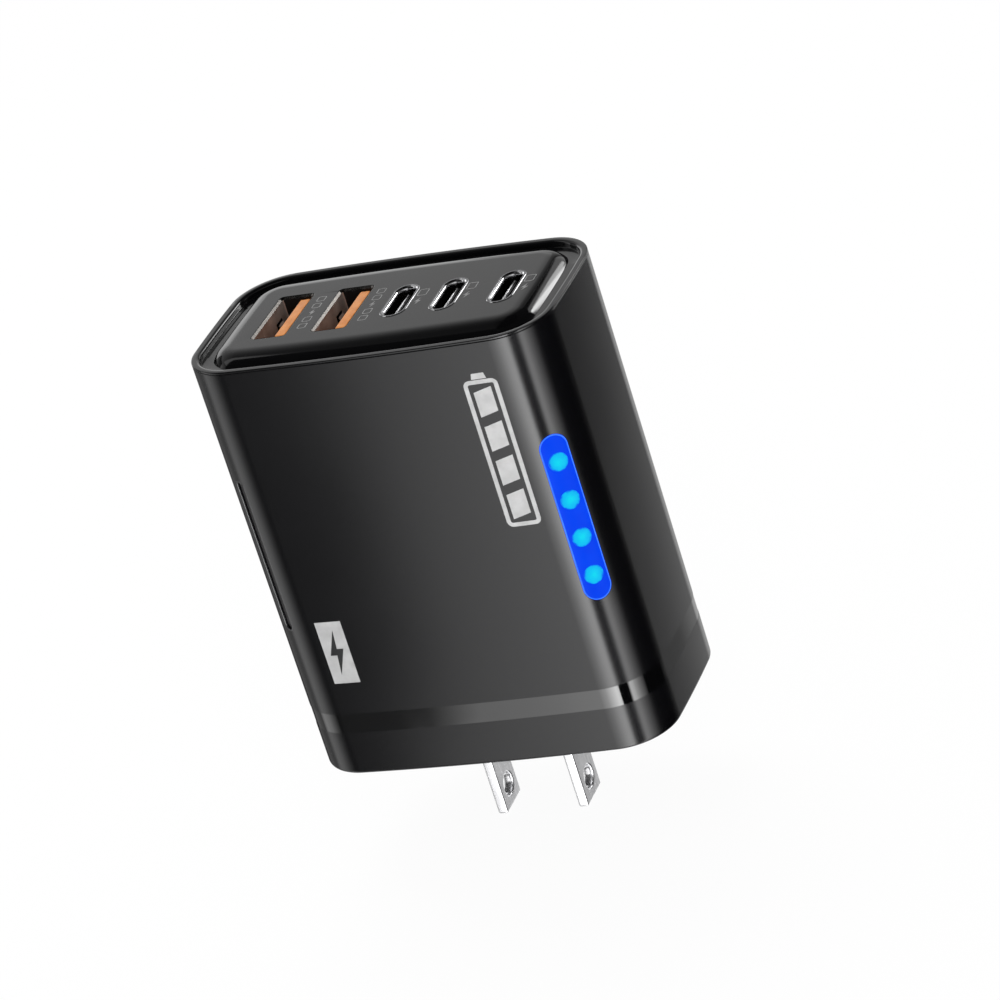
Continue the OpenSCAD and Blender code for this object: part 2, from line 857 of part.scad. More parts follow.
module bulk_capacitor_1() {
    color("#2a2d33")
        on_board(bulk_x, upper_z + bulk_d / 2)
            can(bulk_d, bulk_l);
}
module bulk_capacitor_2() {
    color("#2a2d33")
        on_board(bulk_x, upper_z + bulk_d * 3 / 2 + part_gap)
            can(bulk_d, bulk_l);
}

// Closed core: two plates, two outer legs and a round centre leg
module transformer_core() {
    color("#3b3b3d")
        on_board(core_x, core_z) {
            difference() {
                block(core_w, core_l, core_h);
                block(core_w - 2 * core_leg, core_l + 2 * cut, core_h - 2 * core_plate, core_plate);
            }
            cylinder(h = core_h, d = core_centre_d, $fn = 64);
        }
}

bobbin_z0 = core_plate + gap;
bobbin_z1 = core_h - core_plate - gap;
bobbin_r = core_centre_d / 2 + gap;

module transformer_bobbin() {
    color("#1c1c1e")
        on_board(core_x, core_z)
            difference() {
                union() {
                    translate([0, 0, bobbin_z0])
                        cylinder(h = bobbin_z1 - bobbin_z0, r = bobbin_r + bobbin_t, $fn = 64);
                    for (z = [bobbin_z0, bobbin_z1 - bobbin_t])
                        translate([0, 0, z])
                            cylinder(h = bobbin_t, d = bobbin_d, $fn = 72);
                    for (s = [-1, 1])
                        translate([0, s * (rail_l - rail_w) / 2, 0])
                            block(rail_len_x, rail_w, rail_h);
                    block(web_w, rail_l - rail_w, bobbin_t, bobbin_z0);
                }
                cylinder(h = core_h, r = bobbin_r, $fn = 64);
            }
}

module transformer_winding() {
    color("#e8c93a")
        on_board(core_x, core_z)
            tube(bobbin_r + bobbin_t + gap, bobbin_d / 2 - bobbin_t / 2,
                bobbin_z0 + bobbin_t + gap, bobbin_z1 - bobbin_t - gap);
}

module output_capacitor(i) {
    color("#b9bcc2")
        on_board(out_x, upper_z + out_d / 2 + (i - 1) * (out_d + part_gap))
            can(out_d, out_l);
}
module output_capacitor_1() { output_capacitor(1); }
module output_capacitor_2() { output_capacitor(2); }
module output_capacitor_3() { output_capacitor(3); }

// Moulded power inductor that hangs under the port board
module buck_inductor(s) {
    color("#46464a")
        translate([core_x + s * (buck_w + buck_gap) / 2, port_y - buck_w / 2, port_board_z0 - buck_h])
            difference() {
                block(buck_w, buck_w, buck_h);
                for (q = [-1, 1])
                    translate([0, q * buck_w / 2, buck_h - buck_base])
                        block(buck_w / 2, buck_base, buck_base + cut);
            }
}
module buck_inductor_1() { buck_inductor(-1); }
module buck_inductor_2() { buck_inductor(1); }

module optocoupler() {
    color("#e9e7e0")
        on_board(core_x - core_w / 4, upper_z + rail_l + (part_gap + opto_l) / 2)
            block(opto_w, opto_l, opto_h);
}

module power_switch() {
    color("#19191b")
        behind_board(switch_x_share * board_half, spreader_z)
            block(switch_w, switch_w, switch_t);
}

module controller_chip() {
    color("#19191b")
        behind_board(-switch_x_share * board_half + switch_w, spreader_z + switch_w)
            block(chip_w, chip_l, chip_t);
}

module rectifier_chip() {
    color("#19191b")
        behind_board(-switch_x_share * board_half + switch_w, spreader_z - switch_w)
            block(chip_w, chip_l, chip_t);
}

module thermal_pad() {
    color("#8fa7b8")
        behind_board(switch_x_share * board_half, spreader_z)
            block(pad_w, pad_w, pad_t, switch_t);
}

// Aluminium plate on the pad, with a short folded lip along its upper and lower edge
module heat_spreader() {
    color("#b4b8bd")
        behind_board(0, spreader_z)
            union() {
                block(spreader_w, spreader_h, spreader_t, switch_t + pad_t);
                for (s = [-1, 1])
                    translate([0, s * (spreader_h - spreader_t) / 2, 0])
                        block(spreader_w, spreader_t, spreader_lip, switch_t + pad_t - spreader_lip);
            }
}

module insulation_sheet() {
    color("#d8d3b0")
        behind_board(0, spreader_z)
            block(spreader_w + sheet_over, spreader_h + sheet_over, sheet_t, switch_t + pad_t + spreader_t);
}

body_shell();
port_cap();
light_lens();
side_strip();
light_board();
led_1();
led_2();
led_3();
led_4();
usb_a_shell_1();
usb_a_shell_2();
usb_a_tongue_1();
usb_a_tongue_2();
usb_a_contacts_1();
usb_a_contacts_2();
usb_c_shell_1();
usb_c_shell_2();
usb_c_shell_3();
usb_c_tongue_1();
usb_c_tongue_2();
usb_c_tongue_3();
usb_c_contacts_1();
usb_c_contacts_2();
usb_c_contacts_3();
port_board();
main_board();
board_link();
blade_left();
blade_right();
blade_holder();
mains_lead_left();
mains_lead_right();
fuse();
x_capacitor();
y_capacitor();
choke_base();
choke_core();
choke_winding();
bridge_rectifier();
bulk_capacitor_1();
bulk_capacitor_2();
transformer_core();
transformer_bobbin();
transformer_winding();
output_capacitor_1();
output_capacitor_2();
output_capacitor_3();
buck_inductor_1();
buck_inductor_2();
optocoupler();
power_switch();
controller_chip();
rectifier_chip();
thermal_pad();
heat_spreader();
insulation_sheet();
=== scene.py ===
# %% [markdown]
# # A wall charger with five ports, dressed for a studio photograph
#
# The object is a mains charger the size of a matchbox stood on end. A satin black sleeve
# has gently crowned faces and round corners. A glossy cap closes its top, with a raised
# panel that holds two large and three small ports. A blue lens with four points of light
# runs up one front corner, a polished band goes round near the bottom, and two flat metal
# blades stick out below.
#
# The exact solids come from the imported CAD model. This script gives them materials, and
# builds finer versions of the parts that catch the light.

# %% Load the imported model
import math

import bmesh
import bpy
import numpy as np
from mathutils import Matrix, Vector


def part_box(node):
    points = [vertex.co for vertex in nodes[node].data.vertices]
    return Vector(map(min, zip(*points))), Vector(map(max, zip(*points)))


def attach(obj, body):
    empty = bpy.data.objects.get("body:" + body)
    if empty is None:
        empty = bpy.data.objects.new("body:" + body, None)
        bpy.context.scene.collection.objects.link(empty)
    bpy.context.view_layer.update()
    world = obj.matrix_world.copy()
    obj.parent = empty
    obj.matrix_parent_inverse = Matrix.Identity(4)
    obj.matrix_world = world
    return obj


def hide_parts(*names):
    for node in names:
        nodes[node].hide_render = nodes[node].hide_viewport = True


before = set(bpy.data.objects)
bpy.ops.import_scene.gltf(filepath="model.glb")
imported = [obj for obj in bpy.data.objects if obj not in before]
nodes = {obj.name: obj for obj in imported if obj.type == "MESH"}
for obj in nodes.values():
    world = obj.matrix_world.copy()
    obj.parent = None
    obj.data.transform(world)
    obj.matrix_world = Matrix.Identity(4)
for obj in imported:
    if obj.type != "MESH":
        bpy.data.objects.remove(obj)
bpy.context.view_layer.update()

# %% [markdown]
# ## Sizes
#
# The CAD source is written in millimetres and Blender works in metres. The few sizes that
# the finer pieces share with the solids are repeated here in millimetres, and every mesh
# is scaled once, when it is made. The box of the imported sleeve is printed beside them, so
# that a slip would show at once.

# %% Sizes shared with the solids
MM = 0.001
BODY_W, BODY_D, SHELL_H = 54.7, 31.4, 65.1
CORNER_R, FRONT_CROWN, SIDE_CROWN = 7.9, 0.95, 0.45
WALL, FLOOR_T, BASE_EDGE_R = 1.7, 2.4, 0.6
BAND_Z, BAND_H, BAND_DEPTH = 6.9, 3.15, 0.05
LIP_H, LIP_W, CHANNEL_W, CHANNEL_DEPTH, PANEL_RISE = 0.35, 1.2, 1.8, 1.0, 0.55
REBATE_H, REBATE_W, SKIRT_H, SKIRT_T = 2.6, 0.6, 4.0, 1.2
COLLAR_T, COLLAR_H, POST_D = 0.9, 2.0, 3.2
LIP_Z = SHELL_H + LIP_H
CHANNEL_Z = LIP_Z - CHANNEL_DEPTH
PANEL_Z = LIP_Z + PANEL_RISE
PLATE_Z = SHELL_H - REBATE_H
PANEL_IN = LIP_W + CHANNEL_W
PORT_Y, PORT_Z, PORT_LEN = -0.4, PANEL_Z - 0.3, 10.2
PORT_FOOT = PORT_Z - PORT_LEN
LARGE_X, SMALL_X = (-16.0, -6.7), (2.05, 9.45, 18.15)
LARGE_W, LARGE_L, LARGE_WALL, LARGE_R = 5.3, 12.85, 0.25, 0.6
SMALL_W, SMALL_L, SMALL_WALL = 3.45, 9.25, 0.42
LIGHT_ANGLE, LENS_W, LENS_Z0, LENS_LEN = -55.0, 4.15, 23.45, 25.9
SLOT_W, SLOT_LEN = 1.75, 24.2
SLOT_Z0 = LENS_Z0 + (LENS_LEN - SLOT_LEN) / 8
LED_Z0, LED_PITCH = 27.4, 5.9
BLADE_PITCH, BLADE_W, BLADE_T, BLADE_LEN = 12.7, 6.35, 1.5, 15.8
GAP = 0.05           # room between a piece and the hole it sits in
FINE_ROUND = 0.12    # the fine round edges of the seam, the lip and the port holes
lo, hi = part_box("body_shell")
print("packed sleeve", [round(v / MM, 2) for v in (hi - lo)], "mm, expected", (BODY_W, BODY_D, SHELL_H))

# %% [markdown]
# ## The outline of the body
#
# Seen from above, the body is a rectangle whose four sides are arcs of very large circles,
# joined by four tangent corner arcs. Flat sides would give a flat reflection; the crown is
# what makes the highlight fade softly over the wide face. One function returns that outline
# drawn in by any inset, always with the same number of points at the same angles, so two
# outlines can be joined point by point into a wall.

# %% Outline from eight tangent arcs
front_r = round((BODY_W ** 2 / 4 + FRONT_CROWN ** 2) / (2 * FRONT_CROWN), 3)
side_r = round((BODY_D ** 2 / 4 + SIDE_CROWN ** 2) / (2 * SIDE_CROWN), 3)
front_c = np.array([0.0, front_r - BODY_D / 2])
side_c = np.array([BODY_W / 2 - side_r, 0.0])
span = np.linalg.norm(side_c - front_c)
run = (side_c - front_c) / span
along = ((front_r - CORNER_R) ** 2 - (side_r - CORNER_R) ** 2 + span ** 2) / (2 * span)
across = math.sqrt((front_r - CORNER_R) ** 2 - along ** 2)
corner_c = front_c + along * run + across * np.array([-run[1], run[0]])
front_a = math.atan2(*(corner_c - front_c)[::-1])
side_a = math.atan2(*(corner_c - side_c)[::-1])
ARCS = [
    (front_c, front_r, -math.pi - front_a, front_a, 24),
    (corner_c, CORNER_R, front_a, side_a, 36),
    (side_c, side_r, side_a, -side_a, 12),
    (corner_c * np.array([1.0, -1.0]), CORNER_R, -side_a, -front_a, 36),
]
ARCS += [(-centre, r, a0 + math.pi, a1 + math.pi, steps) for centre, r, a0, a1, steps in ARCS]   # the other half


def outline(inset=0.0):
    """The body seen from above, drawn in by the inset."""
    points = []
    for centre, radius, a0, a1, steps in ARCS:
        for a in np.linspace(a0, a1, steps, endpoint=False):
            points.append(centre + (radius - inset) * np.array([math.cos(a), math.sin(a)]))
    return np.array(points)


def outward(x, y):
    """The direction that the outline faces at a point near it."""
    if abs(x) > abs(corner_c[0]) and abs(y) > abs(corner_c[1]):
        d = np.array([x, y]) - corner_c * np.array([math.copysign(1, x), -math.copysign(1, y)])
    elif abs(y) - abs(corner_c[1]) > abs(x) - abs(corner_c[0]):
        d = np.array([x, y]) - (front_c if y < 0 else -front_c)
    else:
        d = np.array([x, y]) - (side_c if x > 0 else -side_c)
    return d / np.linalg.norm(d)


def faces_out(face):
    """How squarely a mesh face looks the way the outline does beside it."""
    out = outward(face.center.x / MM, face.center.y / MM)
    return face.normal.x * out[0] + face.normal.y * out[1]


ring = outline()
print("outline", len(ring), "points,", np.round(ring.max(0) - ring.min(0), 3), "mm")
print("corner centre", np.round(corner_c, 3))

# %% [markdown]
# ## Helpers for meshes
#
# Most pieces here are walls between matching rings, so one helper joins rings into a mesh.
# Another turns a piece with live modifiers into a plain mesh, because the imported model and
# the export want finished geometry.

# %% Mesh helpers
def new_piece(name, points_mm, faces, edges=()):
    mesh = bpy.data.meshes.new(name)
    mesh.from_pydata([tuple(np.array(p) * MM) for p in points_mm], list(edges), faces)
    mesh.validate()
    piece = bpy.data.objects.new(name, mesh)
    bpy.context.scene.collection.objects.link(piece)
    return piece


def loft(rings, closed=False):
    """A solid through equal rings, capped at both ends or closed into a loop."""
    n, last = len(rings[0]), len(rings) - 1
    points, faces = [p for r in rings for p in r], []
    for k in range(last + 1 if closed else last):
        a, b = k * n, (k + 1) % len(rings) * n
        faces += [(a + i, a + (i + 1) % n, b + (i + 1) % n, b + i) for i in range(n)]
    if not closed:
        faces += [tuple(reversed(range(n))), tuple(range(last * n, (last + 1) * n))]
    return points, faces


def merged(*shells):
    """Several closed shells as one list of points and faces."""
    points, faces = [], []
    for p, f in shells:
        faces += [tuple(i + len(points) for i in face) for face in f]
        points += list(p)
    return points, faces


def at_z(flat, z):
    return [(p[0], p[1], z) for p in flat]


def prism(flat, z0, z1):
    return loft([at_z(flat, z0), at_z(flat, z1)])


def box_ring(cx, cy, w, l):
    """The corners of a rectangle, anticlockwise."""
    return [(cx + a * w / 2, cy + b * l / 2) for a, b in ((-1, -1), (1, -1), (1, 1), (-1, 1))]


def arc(cx, cy, r, a0, a1, steps):
    """Points of an arc, for profiles; the angles are in degrees."""
    return [(cx + r * math.cos(math.radians(a)), cy + r * math.sin(math.radians(a)))
            for a in np.linspace(a0, a1, steps + 1)]


def sharpen(piece, degrees=32):
    """Smooth shading that stays sharp at edges over the angle."""
    piece.data.polygons.foreach_set("use_smooth", [True] * len(piece.data.polygons))
    piece.data.set_sharp_from_angle(angle=math.radians(degrees))


def plain(piece):
    """The piece as its modifiers leave it, with the modifiers gone."""
    seen = piece.evaluated_get(bpy.context.evaluated_depsgraph_get())
    mesh = bpy.data.meshes.new_from_object(seen)
    piece.modifiers.clear()
    old, piece.data = piece.data, mesh
    mesh.name = piece.name
    bpy.data.meshes.remove(old)
    return piece


def carve(piece, *cutters):
    """Cuts closed meshes out of a piece, then removes them."""
    for cutter in cutters:
        made = piece.modifiers.new("cut", "BOOLEAN")
        made.operation, made.solver, made.object = "DIFFERENCE", "EXACT", cutter
    plain(piece)
    for cutter in cutters:
        bpy.data.objects.remove(cutter)


def with_shells(piece, *shells):
    """Adds closed shells to a piece, each standing a little inside the next."""
    extra = new_piece("extra", *merged(*shells))
    body = bmesh.new()
    body.from_mesh(piece.data)
    body.from_mesh(extra.data)
    body.to_mesh(piece.data)
    body.free()
    bpy.data.objects.remove(extra)
    return piece


def even_shading(piece):
    """Large faces rule the shading, so that flats stay flat beside their round edges."""
    sharpen(piece)
    made = piece.modifiers.new("weights", "WEIGHTED_NORMAL")
    made.keep_sharp, made.weight = True, 60
    plain(piece)


def wear(piece, *looks):
    """Gives a piece its materials."""
    piece.data.materials.clear()
    for look in looks:
        piece.data.materials.append(look)


print("mesh helpers ready")

# %% [markdown]
# ## Helpers for materials
#
# Colours are written as the hex values a picture editor shows and turned to linear light
# by one function. One more function adds a shader node with its settings and links, which
# keeps each material short enough to read as a recipe. Every pattern is measured in real
# millimetres on Object coordinates. Most finishes here are one colour or roughness that
# drifts between two values, sometimes with a fine bump on top, so one function makes them.

# %% Material helpers
def linear(code):
    parts = [int(code[i:i + 2], 16) / 255 for i in (1, 3, 5)]
    return tuple(c / 12.92 if c <= 0.04045 else ((c + 0.055) / 1.055) ** 2.4 for c in parts) + (1.0,)


def add(tree, kind, inputs=None, **settings):
    made = tree.nodes.new(kind)
    for key, value in settings.items():
        setattr(made, key, value)
    for key, value in (inputs or {}).items():
        if isinstance(value, bpy.types.NodeSocket):
            tree.links.new(value, made.inputs[key])
        else:
            made.inputs[key].default_value = value
    return made


def calc(tree, operation, *values):
    """The result of one arithmetic node."""
    return add(tree, "ShaderNodeMath", dict(enumerate(values)), operation=operation).outputs[0]


def material(name, colour, roughness, **sockets):
    made = bpy.data.materials.new(name)
    made.use_nodes = True
    made.diffuse_color = linear(colour)
    shader = made.node_tree.nodes["Principled BSDF"]
    shader.inputs["Base Color"].default_value = linear(colour)
    shader.inputs["Roughness"].default_value = roughness
    for key, value in sockets.items():
        shader.inputs[key.replace("_", " ")].default_value = value
    return made, made.node_tree, shader


def cloud(tree, size_mm, detail, stretch=(1, 1, 1)):
    """Noise whose spots have the given size on the piece itself."""
    place = add(tree, "ShaderNodeTexCoord").outputs["Object"]
    place = add(tree, "ShaderNodeMapping", {"Vector": place, "Scale": stretch}).outputs[0]
    noise = add(tree, "ShaderNodeTexNoise", {"Vector": place, "Scale": 1 / (size_mm * MM), "Detail": detail})
    return noise.outputs[0]


def colour_ramp(tree, value, *stops):
    """Colours along a value; each stop is a position and a colour."""
    made = add(tree, "ShaderNodeValToRGB", {"Fac": value})
    marks = made.color_ramp.elements
    for mark, (at, code) in zip(marks, (stops[0], stops[-1])):
        mark.position, mark.color = at, linear(code)
    for at, code in stops[1:-1]:
        marks.new(at).color = linear(code)
    return made.outputs[0]


def grain(tree, shader, size_mm, depth_mm, detail=2.0, strength=1.0, stretch=(1, 1, 1)):
    """A fine bump of the given size and depth over the whole piece."""
    bump = add(tree, "ShaderNodeBump", {"Height": cloud(tree, size_mm, detail, stretch), "Strength": strength,
                                        "Distance": depth_mm * MM})
    tree.links.new(bump.outputs[0], shader.inputs["Normal"])


def mottle(tree, shader, size_mm, low, high, stretch=(1, 1, 1)):
    """A slow drift between two colours, or between two roughnesses, over the piece."""
    value = cloud(tree, size_mm, 3.0, stretch)
    if isinstance(low, str):
        tree.links.new(colour_ramp(tree, value, (0.35, low), (0.65, high)), shader.inputs["Base Color"])
    else:
        drift = add(tree, "ShaderNodeMapRange", {"Value": value, "From Min": 0.35, "From Max": 0.65,
                                                 "To Min": low, "To Max": high})
        tree.links.new(drift.outputs[0], shader.inputs["Roughness"])


def finish(name, colour, roughness, size_mm, low, high, bump=None, stretch=(1, 1, 1), **sockets):
    made, tree, shader = material(name, colour, roughness, **sockets)
    mottle(tree, shader, size_mm, low, high, stretch)
    if bump:
        grain(tree, shader, *bump)
    return made


print("material helpers ready")

# %% [markdown]
# ## The camera
#
# The photograph was taken with a long lens from the front right and above, with the object
# tipped in the frame. The place, the turn and the lens below come from fitting this body's
# edges to the picture, so the camera needs no shift.

# %% Camera
turn = Vector((2.0285243, 0.1393932, -0.4851836))
to_camera = Matrix.Rotation(turn.length, 3, turn.normalized())
shift = Vector((2.858424, 29.653758, 688.276785)) * MM
eye = -(to_camera.transposed() @ shift)
axes = Matrix((to_camera[0], -to_camera[1], -to_camera[2])).transposed()
camera = bpy.data.objects.new("camera", bpy.data.cameras.new("camera"))
bpy.context.scene.collection.objects.link(camera)
camera.matrix_world = Matrix.Translation(eye) @ axes.to_4x4()
camera.data.sensor_width, camera.data.lens = 36.0, 4786.998 / 1000 * 36.0
camera.data.clip_start, camera.data.clip_end = 0.01, 20.0
bpy.context.scene.camera = camera
print("camera at", [round(v / MM, 1) for v in eye], "mm, lens", round(camera.data.lens, 1), "mm")

# %% [markdown]
# ## The studio
#
# The object stands over a pale floor in a soft light. The floor and the world are plain
# white where the camera or a reflection looks straight at them, and otherwise they give
# only a moderate light, so the white of the picture adds nothing to the object. The floor
# is open from below, so that the plug end can be looked at too.

# %% Floor, world and view
FLOOR_Z, FLOOR_SIZE = -16.2, 1800
bpy.context.scene.view_settings.view_transform = "Standard"
floor = new_piece("floor", at_z(box_ring(0, 0, FLOOR_SIZE, FLOOR_SIZE), FLOOR_Z), [(0, 1, 2, 3)])
floor.visible_glossy = False
paper, tree, shader = material("backdrop_paper", "#f4f4f4", 0.9)
seen = add(tree, "ShaderNodeLightPath").outputs
side = add(tree, "ShaderNodeNewGeometry").outputs
white = add(tree, "ShaderNodeEmission", {"Color": linear("#ffffff"), "Strength": 1.0})
clear = add(tree, "ShaderNodeBsdfTransparent")
mix = add(tree, "ShaderNodeMixShader", {0: 0.94, 1: shader.outputs[0], 2: white.outputs[0]})
pick = add(tree, "ShaderNodeMixShader", {0: seen["Is Camera Ray"], 1: shader.outputs[0], 2: mix.outputs[0]})
below = add(tree, "ShaderNodeMixShader", {0: side["Backfacing"], 1: pick.outputs[0], 2: clear.outputs[0]})
tree.links.new(below.outputs[0], tree.nodes["Material Output"].inputs[0])
wear(floor, paper)

world = bpy.data.worlds.new("studio")
bpy.context.scene.world = world
world.use_nodes = True
tree = world.node_tree
seen = add(tree, "ShaderNodeLightPath").outputs
pick = add(tree, "ShaderNodeBackground", {"Color": linear("#ffffff"), "Strength": 0.6})
white = add(tree, "ShaderNodeBackground", {"Color": linear("#ffffff"), "Strength": 1.0})
for ray in ("Is Glossy Ray", "Is Transmission Ray", "Is Camera Ray"):
    pick = add(tree, "ShaderNodeMixShader", {0: seen[ray], 1: pick.outputs[0], 2: white.outputs[0]})
tree.links.new(pick.outputs[0], tree.nodes["World Output"].inputs[0])
print("floor and world ready")

# %% [markdown]
# ## Cards round the object
#
# A glossy black thing has hardly any colour of its own: what one sees is what it mirrors.
# A photographer stands lit cards and black flags round it, and each one draws an upright
# stripe in the round corners. These cards do the same. Each row gives the degrees round the
# object, the degrees up and down, and the brightness at its two sides, with an even run in
# between. Where a row has two more numbers, they fade it from its lower to its upper edge.
# Only mirror-like surfaces see the cards, and between them the white room shows.

# %% Cards
LOW, HIGH = -66, 7
CARDS = [
    # the band that the upright walls mirror, once round from the far left corner
    (-180, -172, LOW, HIGH, 0.55, 1.25),         # left strip: the faint line in the left corner
    (-172, -160, LOW, HIGH, 1.25, 1.15),
    (-160, -138, LOW, HIGH, 1.15, 0.05),         # and its fading side
    (-138, -121, LOW, HIGH, 0.05, 0.12),         # flag: the dark left part of the wide face
    (-121, -119, -29, HIGH, 0.12, 0.2),
    (-119, -115, -29, HIGH, 0.2, 1.3),           # wash: where the wide face starts to lighten
    (-121, -115, LOW, -29, 1.5, 1.5),            # low card: the front edges of the blades
    (-115, -110, LOW, HIGH, 1.3, 1.5),
    (-110, -92, LOW, HIGH, 1.5, 3.1),            # key box: the lighter right part of that face
    (-92, -69, LOW, HIGH, 3.0, 7.4),             # its bright side: the highlight by the corner
    (-69, -63.5, LOW, HIGH, 7.4, 5.5),
    (-63.5, -45.5, LOW, HIGH, 0.0, 0.0),         # flag: the dark gap
    (-45.5, -41.5, LOW, HIGH, 0.5, 4.8),         # edge box: the second stripe
    (-41.5, -34, LOW, HIGH, 4.8, 4.0),
    (-34, -24, LOW, HIGH, 3.4, 1.6),
    (-24, -10, LOW, HIGH, 1.6, 0.0),             # and its fading side
    (-10, 38, LOW, HIGH, 0.0, 0.0),              # flag: the deep black of the right corner
    (38, 62, LOW, -30, 0.0, 0.26),               # right fill: the narrow side face, lighter at its foot
    (38, 62, -30, -13, 0.0, 0.26, 1, 0.1),
    (38, 62, -13, HIGH, 0.3, 0.6, 0.1, 2.0),
    (62, 72, LOW, -30, 0.26, 1.3),               # lifts that face towards its far edge
    (62, 72, -30, -13, 0.26, 1.3, 1, 0.15),
    (62, 72, -13, HIGH, 0.6, 0.8, 0.2, 1.6),
    (72, 110, LOW, HIGH, 1.1, 0.3),
    (110, 122, LOW, -14, 0.3, 0.12),
    (122, 150, LOW, -28, 0.05, 0.08),            # back wall
    (122, 150, -28, -14, 0.05, 0.08, 1, 2.4),
    (110, 150, -14, HIGH, 0.2, 0.2, 1, 5.5),     # low light behind: the soft left edge of the panel
    (150, 180, LOW, HIGH, 0.27, 0.27),
    # what the port panel and the edges of the cap mirror
    (100, 112, 7, 20, 0.6, 1.1, 1, 0.8),
    (112, 150, 7, 14, 1.1, 1.1, 1, 1.35),
    (112, 150, 14, 24, 1.5, 1.5, 1, 0.9),
    (100, 112, 20, 24, 0.88, 1.1, 0.8, 1),
    (100, 150, 24, 30, 0.62, 0.66, 1.2, 0.95),   # top box: lies in the flat of the panel
    (100, 180, 30, 62, 0.6, 0.5, 1, 0.3),        # and fades upwards, into the round front edge
    (100, 250, 62, 90, 0.18, 0.1, 1, 0),
    (84, 100, 7, 62, 0.12, 0.6, 1, 0.2),         # its fading side: the darker line beside the streak
    (61.5, 66, 20, 29, 4.6, 4.6),                # light for the rims of the large ports
    (60, 61.5, 14, 28, 10.0, 3.0),               # streak on the panel's right edge
    (56.5, 60, 14, 28, 10.0, 10.0),
    (54.5, 56.5, 14, 28, 0.3, 10.0),
    (150, 180, 7, 30, 0.6, 0.3, 1, 0),
    (180, 198, 7, 36, 1.8, 1.0, 1, 0.2),         # thin light in the left rims
    (198, 264, 7, 62, 0.02, 0.02),               # flags over the front and the right
    (264, 414, 36, 62, 0.02, 0.02),
    (264, 290, 7, 36, 0.1, 1.2, 1, 0.1),         # front light: a glint on the lip's right corner
    (290, 360, 7, 36, 1.2, 0.3, 1, 0.1),
    (360, 413, 7, 36, 0.3, 0.1, 1, 0.1),
    (414, 444, 34, 62, 0.02, 0.02),
    (-110, 100, 62, 90, 0.0, 0.0),               # flag overhead
]
REACH, MIDDLE_Z, CARD_STEP = 420, 30, 3
points, faces, levels = [], [], []
for a0, a1, e0, e1, l0, l1, *fade in CARDS:
    steps, start = max(2, int(abs(a1 - a0) / CARD_STEP)), len(points)
    for k in range(steps + 1):
        a = math.radians(a0 + (a1 - a0) * k / steps)
        for e, share in zip((math.radians(e0), math.radians(e1)), fade or (1, 1)):
            flat = REACH * math.cos(e)
            points.append((flat * math.cos(a), flat * math.sin(a), MIDDLE_Z + REACH * math.sin(e)))
            levels.append((l0 + (l1 - l0) * k / steps) * share)
    faces += [(start + 2 * k, start + 2 * k + 2, start + 2 * k + 3, start + 2 * k + 1) for k in range(steps)]
cards = new_piece("cards", points, faces)
cards.data.attributes.new("level", "FLOAT", "POINT").data.foreach_set("value", levels)
cards.visible_camera = cards.visible_diffuse = cards.visible_shadow = cards.visible_transmission = False
lit = bpy.data.materials.new("lit_card")
lit.use_nodes = True
tree = lit.node_tree
level = add(tree, "ShaderNodeAttribute", attribute_name="level")
glow = add(tree, "ShaderNodeEmission", {"Strength": level.outputs["Fac"]})
tree.links.new(glow.outputs[0], tree.nodes["Material Output"].inputs[0])
lit.cycles.emission_sampling = "NONE"
wear(cards, lit)
print("cards", len(CARDS), "faces", len(cards.data.polygons))

# %% [markdown]
# Two ordinary soft boxes give the even light that coloured and dull surfaces need. They
# are kept out of reflections, because the cards already stand there.

# %% Soft boxes
def soft_box(name, at_mm, size_mm, watts=2.4, towards_mm=(0, 0, 30)):
    lamp = bpy.data.objects.new(name, bpy.data.lights.new(name, "AREA"))
    lamp.data.shape, lamp.data.size, lamp.data.size_y = "RECTANGLE", size_mm * MM, size_mm * MM
    lamp.data.energy = watts
    bpy.context.scene.collection.objects.link(lamp)
    lamp.location = Vector(at_mm) * MM
    lamp.rotation_euler = (Vector(towards_mm) - Vector(at_mm)).to_track_quat("-Z", "Y").to_euler()
    lamp.visible_camera = lamp.visible_glossy = False


soft_box("front_box", (300, -620, 420), 400)
soft_box("top_box", (-200, 300, 620), 420)

# %% [markdown]
# ## Plastics of the body
#
# The sleeve is moulded in black ABS and polycarbonate from a spark-eroded tool, which leaves
# a fine even grain and a satin sheen. The cap is the same plastic from a polished tool. The
# band near the bottom is polished too, which is why it mirrors the studio.

# %% Satin, gloss and band materials
satin = finish("satin_moulded_abs", "#08080a", 0.2, 30.0, 0.19, 0.22, (0.25, 0.0006, 1.0, 0.5))
gloss = finish("polished_moulded_abs", "#070708", 0.08, 12.0, 0.06, 0.10)
band = finish("polished_band", "#070708", 0.05, 9.0, 0.04, 0.07, Specular_IOR_Level=1.0)
print("body plastics", satin.name, gloss.name, band.name)

# %% [markdown]
# ## The sleeve
#
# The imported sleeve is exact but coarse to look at: its mesh has no rounding at the seam,
# and its long faces would shade in strips. The finer one here follows the same section,
# from the middle of the floor, round the bottom edge, up past the sunk band to the seam,
# and down again inside. The windows for the lens and the slot are cut as in the CAD.

# %% Sleeve
def corner_axes(left=False):
    """Centre, outward and round-the-corner directions at a lit or dark window."""
    a = math.radians(LIGHT_ANGLE)
    out = np.array([math.cos(a), math.sin(a), 0.0])
    side = np.array([-math.sin(a), math.cos(a), 0.0])
    mirror = np.array([-1.0, 1.0, 1.0]) if left else np.ones(3)
    return np.array([corner_c[0], corner_c[1], 0.0]) * mirror, out * mirror, side * mirror


def pill_ring(w, z0, z1, steps=24):
    """A bar with half-round ends as flat points: across and up."""
    r = w / 2
    return arc(0, z1 - r, r, 0, 180, steps) + arc(0, z0 + r, r, 180, 360, steps)


